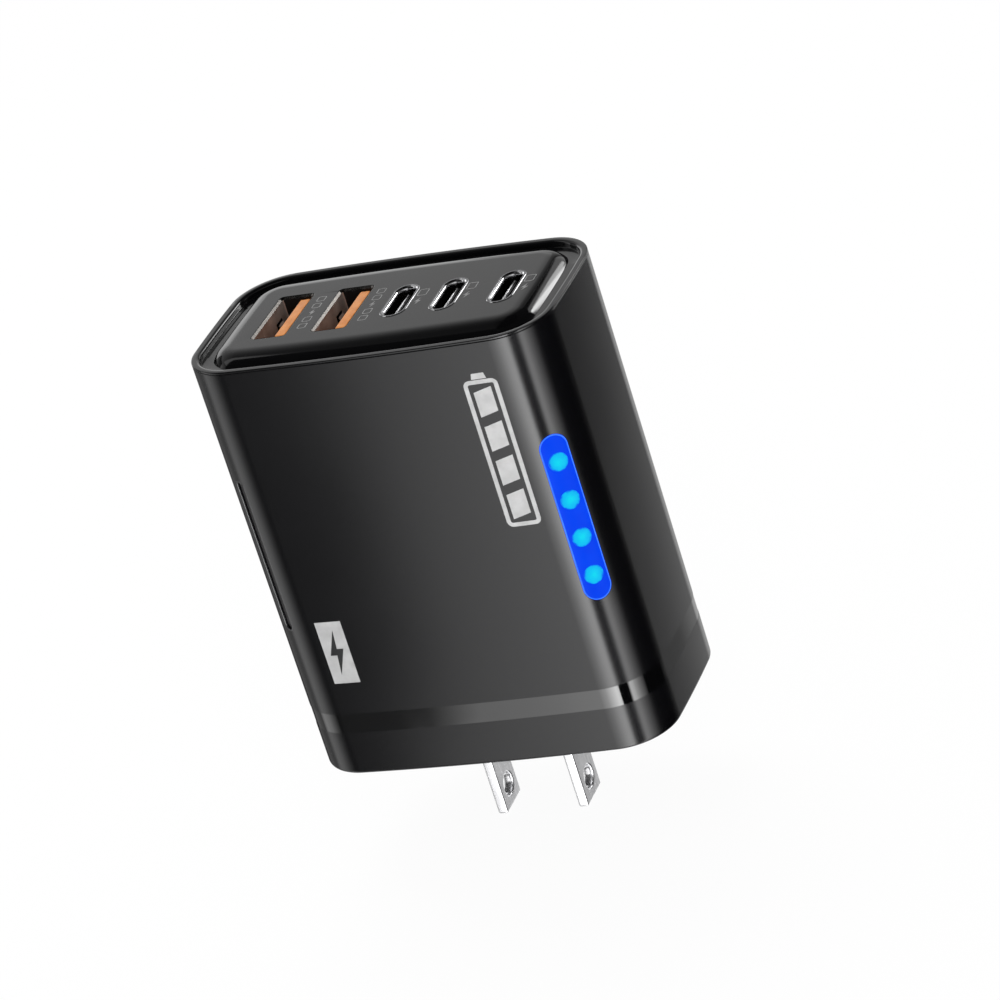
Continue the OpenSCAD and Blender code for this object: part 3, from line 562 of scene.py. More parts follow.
def pill_prism(w, z0, z1, left=False):
    """A bar with half-round ends that passes through the wall at a corner."""
    base, out, side = corner_axes(left)
    rings = [[base + out * r + side * p[0] + np.array([0, 0, p[1]]) for p in pill_ring(w, z0, z1)]
             for r in (CORNER_R - WALL - 1, CORNER_R + 1)]
    if left:
        rings.reverse()
    return loft(rings)


BAND_LEAD, BAND_STEP = 0.15, 0.02
profile = arc(BASE_EDGE_R, BASE_EDGE_R, BASE_EDGE_R, 270, 180, 8)
profile += [(0.0, BAND_Z - BAND_LEAD), (BAND_DEPTH, BAND_Z)]
profile += [(BAND_DEPTH, BAND_Z + BAND_H - BAND_STEP), (0.0, BAND_Z + BAND_H)]
profile += [(0.0, z) for z in (20.0, 36.4, 53.0)]
profile += arc(FINE_ROUND, SHELL_H - FINE_ROUND, FINE_ROUND, 180, 90, 4)
profile += [(REBATE_W, SHELL_H), (REBATE_W, PLATE_Z), (WALL, PLATE_Z), (WALL, FLOOR_T)]
sleeve = new_piece("sleeve", *loft([at_z(outline(i), z) for i, z in profile]))
cutters = [new_piece("cut_lens", *pill_prism(LENS_W, LENS_Z0, LENS_Z0 + LENS_LEN)),
           new_piece("cut_slot", *pill_prism(SLOT_W, SLOT_Z0, SLOT_Z0 + SLOT_LEN, left=True))]
for s in (-1, 1):
    flat = box_ring(s * BLADE_PITCH / 2, 0, BLADE_T + 2 * GAP, BLADE_W + 2 * GAP)
    cutters.append(new_piece("cut_blade", *prism(flat, -1, FLOOR_T + 1)))
carve(sleeve, *cutters)
wear(sleeve, satin, band)
even_shading(sleeve)
for face in sleeve.data.polygons:
    on_band = abs(face.normal.z) < 0.05 and BAND_Z + 0.01 < face.center.z / MM < BAND_Z + BAND_H - 0.01
    face.material_index = 1 if on_band and faces_out(face) > 0.9 else 0
print("sleeve", len(sleeve.data.polygons), "faces")

# %% [markdown]
# A boolean cut leaves long thin triangles beside the windows, and smooth shading would
# bend their highlights. The wall's true direction is known at every point, so it is written
# straight into the mesh for the faces that lie on it.

# %% True wall normals
def true_walls(piece):
    mesh = piece.data
    normals = [Vector(n.vector) for n in mesh.corner_normals]
    fixed = 0
    for face in mesh.polygons:
        if abs(face.normal.z) > 0.02 or faces_out(face) < 0.97:
            continue
        for k in face.loop_indices:
            co = mesh.vertices[mesh.loops[k].vertex_index].co
            normals[k] = Vector((*outward(co.x / MM, co.y / MM), 0.0))
            fixed += 1
    mesh.normals_split_custom_set(normals)
    return fixed


print("wall corners set:", true_walls(sleeve))
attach(sleeve, "root")
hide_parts("body_shell")

# %% [markdown]
# ## The port cap
#
# The cap drops into a rebate of the sleeve. Its lip carries on the outer wall above a fine
# seam, then a channel falls away and the port panel rises again with a wide soft edge.
# That edge is where a glossy black part shows what it is made of, so it gets many steps.

# %% Cap
def small_ring(w, l, steps=16):
    r = w / 2
    return arc(0, l / 2 - r, r, 0, 180, steps) + arc(0, r - l / 2, r, 180, 360, steps)


def large_ring(w, l, r, steps=8):
    x, y = w / 2 - r, l / 2 - r
    return (arc(x, y, r, 0, 90, steps) + arc(-x, y, r, 90, 180, steps)
            + arc(-x, -y, r, 180, 270, steps) + arc(x, -y, r, 270, 360, steps))


def port_ring(kind, grow=0.0):
    if kind == "large":
        return large_ring(LARGE_W + 2 * grow, LARGE_L + 2 * grow, LARGE_R + grow)
    return small_ring(SMALL_W + 2 * grow, SMALL_L + 2 * grow)


def at_port(flat, x, z):
    return [(p[0] + x, p[1] + PORT_Y, z) for p in flat]


PANEL_ROLL, LIP_ROUND, SEAT_GAP, JOIN = 3.3, 0.5, 0.02, 0.3
PORTS = [("large", x) for x in LARGE_X] + [("small", x) for x in SMALL_X]
gap_in, skirt_z, fine = WALL + 2 * GAP, PLATE_Z - SKIRT_H, FINE_ROUND
profile = [(gap_in + SKIRT_T, PLATE_Z), (gap_in + SKIRT_T, skirt_z), (gap_in, skirt_z), (gap_in, PLATE_Z)]
profile += [(REBATE_W + GAP, PLATE_Z), (REBATE_W + GAP, SHELL_H)]
profile += arc(fine, SHELL_H + fine, fine, 270, 180, 4)
profile += arc(fine, LIP_Z - fine, fine, 180, 90, 6)
profile += arc(LIP_W - LIP_ROUND, LIP_Z - LIP_ROUND, LIP_ROUND, 90, 0, 8)
profile += arc(LIP_W + fine, CHANNEL_Z + fine, fine, 180, 270, 4)
profile += [(PANEL_IN + PANEL_ROLL * (1 - u), PANEL_Z - (PANEL_Z - CHANNEL_Z) * u ** 3)
            for u in np.linspace(1, 0, 29)]
cap = new_piece("port_cap_finished", *loft([at_z(outline(i), z) for i, z in profile]))

under = []
collar = [(COLLAR_T, PLATE_Z + JOIN), (COLLAR_T, PLATE_Z - COLLAR_H),
          (SEAT_GAP, PLATE_Z - COLLAR_H), (SEAT_GAP, PLATE_Z + JOIN)]
for kind, x in PORTS:
    under.append(loft([at_port(port_ring(kind, g), x, z) for g, z in collar], closed=True))
post_x = corner_c[0] + CORNER_R - WALL - SKIRT_T - POST_D / 2 - GAP
post_y = abs(corner_c[1]) + POST_D / 2
for sx in (-1, 1):
    for sy in (-1, 1):
        post = arc(sx * post_x, sy * post_y, POST_D / 2, 0, 360, 32)[:-1]
        under.append(prism(post, PORT_FOOT, PLATE_Z + JOIN))

hole = [(0.0, PLATE_Z - 1), (0.0, PANEL_Z - fine)]
hole += [(fine * (1 - math.cos(t)), PANEL_Z - fine * (1 - math.sin(t)))
         for t in np.linspace(0, math.pi / 2, 4)[1:]] + [(fine, PANEL_Z + 1)]
cutters = []
for kind, x in PORTS:
    cutters.append(new_piece("cut_port", *loft([at_port(port_ring(kind, GAP + g), x, z) for g, z in hole])))
carve(cap, *cutters)
even_shading(with_shells(cap, *under))
wear(cap, gloss, satin)
for face in cap.data.polygons:
    on_wall = abs(face.normal.z) < 0.1 and SHELL_H < face.center.z / MM < LIP_Z - fine
    face.material_index = 1 if on_wall and faces_out(face) > 0.9 else 0
print("cap", len(cap.data.polygons), "faces")
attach(cap, "root")
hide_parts("port_cap")

# %% [markdown]
# ## The blades
#
# The blades are punched from brass strip and nickel plated. Punching and plating leave round
# edges along the strip, at the tip and on both rims of the hole, and those edges carry the
# brightest lines of the plug end. The shoulders and the tab inside are as in the CAD.

# %% Blades
BLADE_EDGE, HOLE_R, HOLE_Z = 0.3, 1.7, -12.6
SHOULDER_W, SHOULDER_H, TAB_W, TAB_H = 8.4, 2.0, 4.0, 6.1
nickel = finish("nickel_plated_brass", "#f0f0f2", 0.18, 0.7, "#e6e6e8", "#f8f8fa",   # bright, finely drawn
                (0.5, 0.001, 2.0, 1.0, (1, 1, 0.2)), (1, 1, 0.2), Metallic=0.85)
soft_edge = [(BLADE_EDGE * (1 - math.sin(t)), BLADE_EDGE * (1 - math.cos(t)))
             for t in np.linspace(0, math.pi / 2, 6)]
profile = [(g, h - BLADE_LEN) for g, h in soft_edge] + [(0.0, FLOOR_T + 0.1)]
rim = [(HOLE_R + BLADE_EDGE, BLADE_T)] + [(HOLE_R + g, BLADE_T / 2 - h) for g, h in soft_edge]
rim += [(r, -x) for r, x in reversed(rim)]
around = np.linspace(0, 2 * math.pi, 64, endpoint=False)
for s, name in ((-1, "left"), (1, "right")):
    cx = s * BLADE_PITCH / 2
    rings = []
    for g, z in profile:
        flat = large_ring(BLADE_T - 2 * g, BLADE_W - 2 * g, max(BLADE_EDGE - g, 0.02), 5)
        rings.append([(x + cx, y, z) for x, y in flat])
    blade = new_piece("plug_blade_" + name, *loft(rings))
    rings = [[(cx + x, r * math.cos(a), HOLE_Z + r * math.sin(a)) for a in around] for r, x in reversed(rim)]
    carve(blade, new_piece("cut_hole", *loft(rings)))
    inside = [prism(box_ring(cx, 0, BLADE_T, w), FLOOR_T, FLOOR_T + h)
              for w, h in ((SHOULDER_W, SHOULDER_H), (TAB_W, TAB_H))]
    even_shading(with_shells(blade, *inside))
    wear(blade, nickel)
    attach(blade, "root")
    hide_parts("blade_" + name)
print("blades", 2, "with", len(blade.data.polygons), "faces each")

# %% [markdown]
# ## Growing pieces with Geometry Nodes
#
# Whatever repeats on this object, such as the spring fingers in the ports, the rims of the
# windows and the turns of the choke, is grown by a node tree. The tree gets its sizes as
# named inputs, so a reader can change one number and watch all the copies follow. Two small
# functions start a tree and turn the grown result into a plain mesh.

# %% Node tree helpers
def new_tree(name, sizes):
    """A node tree with named inputs, and its input node's sockets."""
    tree = bpy.data.node_groups.new(name, "GeometryNodeTree")
    tree.interface.new_socket("Geometry", in_out="INPUT", socket_type="NodeSocketGeometry")
    tree.interface.new_socket("Geometry", in_out="OUTPUT", socket_type="NodeSocketGeometry")
    for label, (kind, value) in sizes.items():
        made = tree.interface.new_socket(label, in_out="INPUT", socket_type="NodeSocket" + kind)
        if kind != "Material":
            made.default_value = value
    return tree, add(tree, "NodeGroupInput").outputs


def close_tree(tree, geometry, look):
    """Copies become real faces and get their material, because the export drops instances."""
    real = add(tree, "GeometryNodeRealizeInstances", {"Geometry": geometry})
    dressed = add(tree, "GeometryNodeSetMaterial", {"Geometry": real.outputs[0], "Material": look})
    add(tree, "NodeGroupOutput", {"Geometry": dressed.outputs[0]})


def grow(piece, tree, sizes):
    """Runs the tree on the piece and keeps the result as a plain mesh."""
    made = piece.modifiers.new("grow", "NODES")
    made.node_group = tree
    for socket in tree.interface.items_tree:
        if socket.in_out == "INPUT" and socket.name in sizes:
            made[socket.identifier] = sizes[socket.name][1]
    return plain(piece)


def spots(name, places_mm, turns):
    """Points that carry the turn of the copy that stands on each."""
    piece = new_piece(name, places_mm, [])
    turn = piece.data.attributes.new("turn", "FLOAT_VECTOR", "POINT")
    turn.data.foreach_set("vector", [c for t in turns for c in t])
    return piece


def plant(tree, points, copy):
    """Stands a copy on each point, turned as the point says."""
    turn = add(tree, "GeometryNodeInputNamedAttribute", {"Name": "turn"}, data_type="FLOAT_VECTOR")
    inputs = {"Points": points, "Instance": copy, "Rotation": turn.outputs[0]}
    return add(tree, "GeometryNodeInstanceOnPoints", inputs).outputs[0]


def swept(tree, path, section, caps=False):
    """The skin that a section draws along a path."""
    inputs = {"Curve": path.outputs[0], "Profile Curve": section.outputs[0], "Fill Caps": caps}
    return add(tree, "GeometryNodeCurveToMesh", inputs).outputs[0]


print("node tree helpers ready")

# %% [markdown]
# ## Metals and plastics of the ports
#
# The small ports have nickel-plated deep-drawn shells, bright as a mirror. The large ports
# are stamped from stainless sheet, which is duller and darkens where it has been bent. The
# thick tongue is moulded in orange nylon, the colour that marks a fast port.

# %% Port materials
rolled = (0.35, 0.004, 2.0, 1.0, (1, 1, 0.15))   # rolling marks run up the sheet, drawn coarse to show
# mirror-like mouths of the small ports, and the grey ring round each
chrome = finish("bright_nickel_plate", "#e4e4e6", 0.1, 2.0, 0.07, 0.14, Metallic=1.0)
bezel = finish("smoked_bezel", "#6a6a6c", 0.25, 0.8, "#646466", "#707072", Metallic=1.0)
# dull brown-grey walls of the large ports, and the bright cut edge of their sheet
steel = finish("stamped_stainless_sheet", "#b4a49c", 0.42, 2.4, "#a4948c", "#c2b4ac", rolled, Metallic=0.7)
steel_rim = finish("sheared_steel_edge", "#8a8682", 0.25, 0.8, 0.18, 0.3, Metallic=1.0)
# warm, slightly waxy tongues in the large ports, black ones in the small, soft yellow contacts;
# the black nylon also stands as painted shade on the end walls of the large ports
orange = finish("orange_moulded_nylon", "#c77d3b", 0.42, 1.5, "#bf7534", "#cf8644")
black_nylon_and_painted_shade = finish("black_moulded_nylon_and_painted_shade", "#0b0b0c", 0.4, 0.9, 0.34, 0.46)
gold = finish("gold_flashed_bronze", "#d9b25e", 0.24, 0.5, "#cfa650", "#e3c070", Metallic=1.0)
print("port materials", chrome.name, steel.name, orange.name)

# %% [markdown]
# ## Small port shells
#
# Each small port is a stadium-shaped tube whose mouth is flared to lead the plug in, and
# that bright flare is what one sees from afar. A thin flange lies on the panel round it. A
# profile of outer wall, flange, flare and inner wall goes once round the stadium.

# %% Small port shells
SMALL_RIM, SMALL_FLANGE, SHEET_EDGE, FLARE_H = 0.12, 0.24, 0.05, 0.6
top, flange_z, flare_w = PANEL_Z + 0.03, PANEL_Z + 0.01, SMALL_WALL - SMALL_RIM
profile = [(0.0, PORT_FOOT), (0.0, flange_z), (SMALL_FLANGE, flange_z), (SMALL_FLANGE, top)]
profile += [(g, top + SHEET_EDGE) for g in (SMALL_FLANGE - SHEET_EDGE, SHEET_EDGE - SMALL_RIM)]
profile += [(-SMALL_RIM, top)]
profile += [(-SMALL_RIM - flare_w * math.sin(t), top - FLARE_H * (1 - math.cos(t)))
            for t in np.linspace(0.35, math.pi / 2, 5)]
profile += [(-SMALL_WALL, PORT_FOOT)]
for k, x in enumerate(SMALL_X, 1):
    rings = [at_port(small_ring(SMALL_W + 2 * g, SMALL_L + 2 * g, 20), x, z) for g, z in profile]
    shell = new_piece(f"small_port_shell_{k}", *loft(rings, closed=True))
    sharpen(shell, 40)
    wear(shell, chrome, bezel)
    for face in shell.data.polygons:
        face.material_index = 1 if face.normal.z > 0.9 and face.center.z / MM > top else 0
    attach(shell, "root")
    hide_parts(f"usb_c_shell_{k}")
print("small port shells", len(SMALL_X), "with", len(shell.data.polygons), "faces each")

# %% [markdown]
# ## Large port shells
#
# A large port is folded from thin sheet. Its mouth is turned over into a sloping lip, which
# shows as a bright line on the side that faces the light, and each long wall has two
# windows with a spring finger that leans inwards and holds the plug. The walls are a lofted
# tube with the windows cut out. The lip gets the bright edge material by its slope. The
# upright end walls get black nylon, which is painted shade: the real metal there is dark only
# because it mirrors the dark inside of the port.

# %% Large port shells
SPRING_W, SPRING_L, SPRING_SLIT, SPRING_Z = 2.2, 5.4, 0.35, PORT_FOOT + 3.0
SPRING_Y, LARGE_FLARE, LIP_SLOPE = 0.24 * LARGE_L, 0.26, 1.08
SPRINGS = [(x, sx, sy) for x in LARGE_X for sx in (-1, 1) for sy in (-1, 1)]
spring_x = (LARGE_W - LARGE_WALL) / 2
top = PANEL_Z - 0.03
profile = [(0.0, PORT_FOOT), (0.0, top)]
profile += [(-LARGE_FLARE, top - LIP_SLOPE * LARGE_FLARE), (-LARGE_WALL, PORT_FOOT)]
for k, x in enumerate(LARGE_X, 1):
    rings = [at_port(port_ring("large", g), x, z) for g, z in profile]
    shell = new_piece(f"large_port_shell_{k}", *loft(rings, closed=True))
    cutters = []
    for at, sx, sy in SPRINGS:
        if at == x:
            flat = box_ring(x + sx * spring_x, PORT_Y + sy * SPRING_Y, 0.6, SPRING_W)
            cutters.append(new_piece("cut_spring", *prism(flat, SPRING_Z, SPRING_Z + SPRING_L)))
    carve(shell, *cutters)
    sharpen(shell, 30)
    wear(shell, steel, steel_rim, black_nylon_and_painted_shade)
    for face in shell.data.polygons:
        lip = face.center.z / MM > top - LARGE_FLARE and abs(face.normal.z) > 0.3
        # painted shade: the upright end walls are drawn in black nylon, as dark as the inside of the port they
        # mirror
        painted_shade_end = abs(face.normal.y) > 0.8 and abs(face.normal.z) < 0.3
        face.material_index = 1 if lip else 2 if painted_shade_end else 0
    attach(shell, "root")
    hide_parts(f"usb_a_shell_{k}")
print("large port shells", len(LARGE_X), "with", len(shell.data.polygons), "faces each")

# %% [markdown]
# ## Spring fingers
#
# Four fingers stand in each large port. They are all the same leaf: rooted at the bottom of
# its window, leaning inwards to a rounded knee, and turned back at its tip. One curve with
# a flat section makes the leaf, and the tree plants it in every window, turned to face in.

# %% Spring fingers
sizes = {"Leaf width": ("Float", (SPRING_W - 2 * SPRING_SLIT) * MM),
         "Leaf height": ("Float", (SPRING_L - SPRING_SLIT) * MM),
         "Lean": ("Float", 0.62 * MM), "Sheet": ("Float", LARGE_WALL * MM), "Finish": ("Material", steel)}
tree, size = new_tree("spring_fingers", sizes)
knee = add(tree, "ShaderNodeCombineXYZ", {"X": size["Lean"], "Z": size["Leaf height"]}).outputs[0]
crest, bow, tip = (add(tree, "ShaderNodeVectorMath", {0: knee, 1: share}, operation="MULTIPLY").outputs[0]
                   for share in ((1.0, 1.0, 0.72), (1.1, 1.0, 0.95), (0.45, 1.0, 1.0)))
up = add(tree, "GeometryNodeCurvePrimitiveLine", {"Start": (0, 0, 0), "End": crest})
over = add(tree, "GeometryNodeCurveQuadraticBezier",
           {"Resolution": 8, "Start": crest, "Middle": bow, "End": tip})
section = add(tree, "GeometryNodeCurvePrimitiveQuadrilateral",
              {"Width": size["Leaf width"], "Height": size["Sheet"]})
path = add(tree, "GeometryNodeJoinGeometry")
for part in (up, over):
    tree.links.new(part.outputs[0], path.inputs[0])
leaf = swept(tree, path, section, caps=True)
close_tree(tree, plant(tree, size["Geometry"], leaf), size["Finish"])
places = [(x + sx * spring_x, PORT_Y + sy * SPRING_Y, SPRING_Z) for x, sx, sy in SPRINGS]
turns = [(0, 0, 0 if sx < 0 else math.pi) for x, sx, sy in SPRINGS]
springs = grow(spots("spring_fingers", places, turns), tree, sizes)
sharpen(springs, 40)
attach(springs, "root")
print("spring fingers", len(places), "with", len(springs.data.polygons), "faces")

# %% [markdown]
# ## Tongues
#
# The tongue carries the contacts. In a large port it is a thick orange tab that nearly
# reaches the mouth, and in a small one a thin black tab in the middle, with a steel mid
# plate whose polished edge is the fine bright line one sees. Moulded edges are never
# sharp, so each tab is a small loft that narrows at its tip.

# %% Tongues
TONGUE_T, TONGUE_W, TONGUE_SIDE, TONGUE_SHIFT, BASE_H = 1.6, 11.1, 0.5, 0.33, 3.0
tongue_x = LARGE_W / 2 - LARGE_WALL - TONGUE_SIDE - TONGUE_T / 2 + TONGUE_SHIFT
base_top = PORT_FOOT + BASE_H


def tab(w, l, x, z0, z1, r, corner):
    """A tab with round upright corners and a rounded tip."""
    steps = [(0.0, z0), (0.0, z1 - r)]
    steps += [(r * (1 - math.cos(t)), z1 - r + r * math.sin(t)) for t in np.linspace(0.3, math.pi / 2, 5)]
    return loft([at_port(large_ring(w - 2 * g, l - 2 * g, max(corner - g, 0.02), 4), x, z) for g, z in steps])


def base_block(kind, wall, x):
    """The block that fills the foot of a shell."""
    return loft([at_port(port_ring(kind, -wall - GAP), x, z) for z in (PORT_FOOT, base_top)])


for k, x in enumerate(LARGE_X, 1):
    tongue = new_piece(f"orange_tongue_{k}", *merged(
        base_block("large", LARGE_WALL, x),
        tab(TONGUE_T, TONGUE_W, x + tongue_x, base_top - 0.1, PORT_Z - 0.05, 0.2, 0.25)))
    sharpen(tongue, 40)
    wear(tongue, orange)
    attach(tongue, "root")
    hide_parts(f"usb_a_tongue_{k}")
for k, x in enumerate(SMALL_X, 1):
    tongue = new_piece(f"black_tongue_{k}", *merged(
        base_block("small", SMALL_WALL, x), tab(0.7, 6.7, x, base_top - 0.1, PORT_Z - 0.55, 0.12, 0.2)))
    plate = new_piece(f"mid_plate_{k}", *tab(0.2, 6.4, x, PORT_Z - 0.75, PORT_Z - 0.42, 0.05, 0.08))
    for piece, metal, slot in ((tongue, black_nylon_and_painted_shade, "tongue_black"), (plate, chrome, "port_chrome")):
        sharpen(piece, 40)
        wear(piece, metal)
        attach(piece, "root")
    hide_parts(f"usb_c_tongue_{k}")
print("tongues", len(LARGE_X) + len(SMALL_X))

# %% [markdown]
# ## The lit lens
#
# The lens is a strip of blue polycarbonate with a light board behind it, so it glows evenly.
# Four round light pipes pass through it and end flush. The strip gets a saturated blue that
# shines by itself, and each pipe a cyan that is brightest in its middle and a little cloudy,
# as frosted pipes are. The distance from the nearest pipe's axis is worked out on Object
# coordinates, so that one material serves all four.

# %% Lens and light pipes
base, out, side = corner_axes()
lens, tree, shader = material("blue_diffuser_polycarbonate", "#000a28", 0.4,
                              Emission_Strength=0.9, Specular_IOR_Level=0.04)
haze = colour_ramp(tree, cloud(tree, 4.0, 2.0), (0.3, "#0040f6"), (0.7, "#0049ff"))
tree.links.new(haze, shader.inputs["Emission Color"])

pipe, tree, shader = material("frosted_light_pipe", "#001428", 0.4,
                              Emission_Strength=0.88, Specular_IOR_Level=0.06)
place = add(tree, "ShaderNodeTexCoord").outputs["Object"]
along_side = add(tree, "ShaderNodeVectorMath", {0: place, 1: tuple(side)}, operation="DOT_PRODUCT")
across_mm = calc(tree, "MULTIPLY_ADD", along_side.outputs["Value"], 1 / MM, -float(np.dot(base, side)))
height = add(tree, "ShaderNodeSeparateXYZ", {"Vector": place}).outputs["Z"]
row = calc(tree, "MULTIPLY_ADD", height, 1 / (LED_PITCH * MM), 0.5 - LED_Z0 / LED_PITCH)
up_mm = calc(tree, "MULTIPLY_ADD", calc(tree, "FRACT", row), LED_PITCH, -LED_PITCH / 2)
flat = add(tree, "ShaderNodeCombineXYZ", {"X": across_mm, "Y": up_mm})
far = add(tree, "ShaderNodeVectorMath", {0: flat.outputs[0]}, operation="LENGTH")
fuzzy = calc(tree, "MULTIPLY_ADD", cloud(tree, 0.9, 2.0), 0.9, far.outputs["Value"])
spot = colour_ramp(tree, calc(tree, "MULTIPLY", fuzzy, 0.5),
                   (0.30, "#08e4ff"), (0.80, "#04c4ff"), (0.94, "#0060ff"))
tree.links.new(spot, shader.inputs["Emission Color"])
print("lens materials", lens.name, pipe.name)

# %% [markdown]
# The lens sits in its window with a hair of a seam, and its rim is slightly rounded. The thin
# lighter line along its edge is partly a painted highlight: the rim glows with the lens, but in
# a paler blue. A tree turns the outline of the window into a curve and runs a thread-thin
# round section along it, just proud of the lens.

# %% Rims of the lens and the slot
def on_corner(w, z0, z1, sunk, left=False):
    """Points of a pill-shaped outline that lie on the round corner of the body."""
    base, out, side = corner_axes(left)
    corners, points = pill_ring(w, z0, z1), []
    for (u, z), (nu, nz) in zip(corners, corners[1:] + corners[:1]):
        parts = max(1, int(math.hypot(nu - u, nz - z) / 0.8))
        for t in np.arange(parts) / parts:
            across, height = u + (nu - u) * t, z + (nz - z) * t
            depth = math.sqrt(CORNER_R ** 2 - across ** 2) - sunk
            points.append(base + out * depth + side * across + np.array([0, 0, height]))
    return points


# the rim glows with the lens; its paler blue is a painted highlight on the round edge
lens_glow_and_painted_highlight = finish("lens_edge_painted_highlight", "#2a5cf0", 0.3, 6.0, "#2050e0", "#3a70ff",
                  Emission_Color=linear("#3f86ff"), Emission_Strength=0.8, Specular_IOR_Level=0.2)
# catches a thin light line
dark_edge = finish("polished_slot_edge", "#2c2c2e", 0.18, 6.0, 0.15, 0.22, Specular_IOR_Level=1.0)
tree, size = new_tree("window_rim", {"Thread": ("Float", 0.075 * MM), "Finish": ("Material", lens_glow_and_painted_highlight)})
path = add(tree, "GeometryNodeMeshToCurve", {"Mesh": size["Geometry"]})
thread = add(tree, "GeometryNodeCurvePrimitiveCircle", {"Resolution": 8, "Radius": size["Thread"]})
close_tree(tree, swept(tree, path, thread), size["Finish"])
LENS_IN = 0.15
lens_line = on_corner(LENS_W - 2 * LENS_IN, LENS_Z0 + LENS_IN, LENS_Z0 + LENS_LEN - LENS_IN, 0.045)
slot_line = on_corner(SLOT_W, SLOT_Z0, SLOT_Z0 + SLOT_LEN, 0.1, left=True)
for name, line, thread_mm, look, slot in (("lens_rim", lens_line, 0.075, lens_glow_and_painted_highlight, "lens_blue"),
                                          ("slot_rim", slot_line, 0.14, dark_edge, "strip_dark")):
    rim = new_piece(name, line, [], [(k, (k + 1) % len(line)) for k in range(len(line))])
    grow(rim, tree, {"Thread": ("Float", thread_mm * MM), "Finish": ("Material", look)})
    sharpen(rim, 60)
    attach(rim, "root")
    print(name, len(rim.data.polygons), "faces")

# %% [markdown]
# ## Prints
#
# Pad printing leaves a film a few hundredths of a millimetre thick, in a light grey ink.
# Here the front carries a charge gauge, a battery outline filled with slanted bars, beside
# the lens, and a small light badge with a bolt low on the left. Thin marks stand beside
# each port. They are flat films laid on the surface, and a tree bends those on the front to
# the crown of that face.

# %% Ink and film helpers
ink = finish("light_grey_ink", "#c4c4c4", 0.5, 1.5, "#bcbcbc", "#cacaca")
badge_ink = finish("badge_grey_ink", "#bcbcbc", 0.45, 2.0, "#b4b4b4", "#c4c4c4")
dark_ink = finish("dark_ink", "#141415", 0.4, 2.0, 0.36, 0.46)
thin_ink = finish("fine_grey_ink", "#7c7c7c", 0.5, 1.0, "#727272", "#868686")


def slab_of(corners, parts):
    """A slanted four-sided patch cut into strips across its width, so that it can bend."""
    (a, b, c, d) = [np.array(p, float) for p in corners]
    points = [tuple(a + (b - a) * k / parts) + (0.0,) for k in range(parts + 1)]
    points += [tuple(d + (c - d) * k / parts) + (0.0,) for k in range(parts + 1)]
    return points, [(k, k + 1, parts + 2 + k, parts + 1 + k) for k in range(parts)]


def outline_band(w, h, r, line, cx=0.0, cy=0.0):
    """The outline of a round-cornered rectangle, drawn with a line of some width."""
    rings = large_ring(w, h, r, 4), large_ring(w - 2 * line, h - 2 * line, max(r - line, 0.02), 4)
    n = len(rings[0])
    points = [(x + cx, y + cy, 0.0) for ring in rings for x, y in ring]
    return points, [(k, (k + 1) % n, n + (k + 1) % n, n + k) for k in range(n)]


BOLT = [(0.12, 0.5), (-0.34, -0.06), (-0.04, -0.06), (-0.14, -0.5), (0.34, 0.08), (0.04, 0.08)]


def bolt(w, h, cx=0.0, cy=0.0):
    """A lightning bolt, which says electric power without a word."""
    return [(cx + w * x, cy + h * y, 0.0) for x, y in BOLT], [(0, 1, 2, 5), (2, 3, 4, 5)]


print("inks", ink.name, badge_ink.name, thin_ink.name)

# %% Tree that lays a film on the crowned front
sizes = {"Crown radius": ("Float", front_r * MM), "Crown centre": ("Float", float(front_c[1]) * MM),
         "Film": ("Float", 0.02 * MM), "Finish": ("Material", ink)}
on_crown, size = new_tree("film_on_crown", sizes)
place = add(on_crown, "GeometryNodeInputPosition").outputs[0]
spot = add(on_crown, "ShaderNodeSeparateXYZ", {"Vector": place}).outputs
reach = calc(on_crown, "ADD", size["Crown radius"], size["Film"])
squares = [calc(on_crown, "MULTIPLY", value, value) for value in (reach, spot["X"])]
root = calc(on_crown, "SQRT", calc(on_crown, "SUBTRACT", *squares))
depth = calc(on_crown, "SUBTRACT", size["Crown centre"], root)
moved = add(on_crown, "ShaderNodeCombineXYZ", {"X": spot["X"], "Y": depth, "Z": spot["Y"]}).outputs[0]
bent = add(on_crown, "GeometryNodeSetPosition", {"Geometry": size["Geometry"], "Position": moved}).outputs[0]
close_tree(on_crown, bent, size["Finish"])


def front_film(name, shapes, look, film_mm=0.02):
    """Films drawn flat, with X across the face and Y up it, then bent onto the crown."""
    piece = new_piece(name, *merged(*shapes))
    grow(piece, on_crown, {**sizes, "Finish": ("Material", look), "Film": ("Float", film_mm * MM)})
    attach(piece, "root")
    return piece


# %% Prints on the front
x0, x1, z0, z1 = 14.5, 19.5, 36.9, 60.6
NUB_H, INSET, BAR_GAP, BARS = 1.0, 1.15, 0.8, 4
cx, top = (x0 + x1) / 2, z1 - NUB_H
shapes = [outline_band(x1 - x0, top - z0, 0.9, 0.62, cx, (z0 + top) / 2)]
shapes.append(slab_of([(cx - 1.1, top + 0.12), (cx + 1.1, top + 0.12), (cx + 0.9, z1), (cx - 0.9, z1)], 3))
left, right, pitch = x0 + INSET, x1 - INSET, (top - z0 - 2 * INSET + BAR_GAP) / BARS
for k in range(BARS):
    low = z0 + INSET + k * pitch
    high = low + pitch - BAR_GAP
    shapes.append(slab_of([(left, low), (right, low + 0.7), (right, high), (left, high - 0.7)], 4))
gauge = front_film("charge_gauge", shapes, ink)
BADGE_X, BADGE_W, BADGE_Z0, BADGE_Z1 = -17.05, 4.1, 15.15, 25.2
badge_z, badge_h = (BADGE_Z0 + BADGE_Z1) / 2, BADGE_Z1 - BADGE_Z0
badge = front_film("badge_field", [slab_of(box_ring(BADGE_X, badge_z, BADGE_W, badge_h), 6)], badge_ink)
mark = front_film("badge_bolt", [bolt(3.4, 7.4, BADGE_X, badge_z)], dark_ink, 0.03)
print("front films", [len(o.data.polygons) for o in (gauge, badge, mark)])

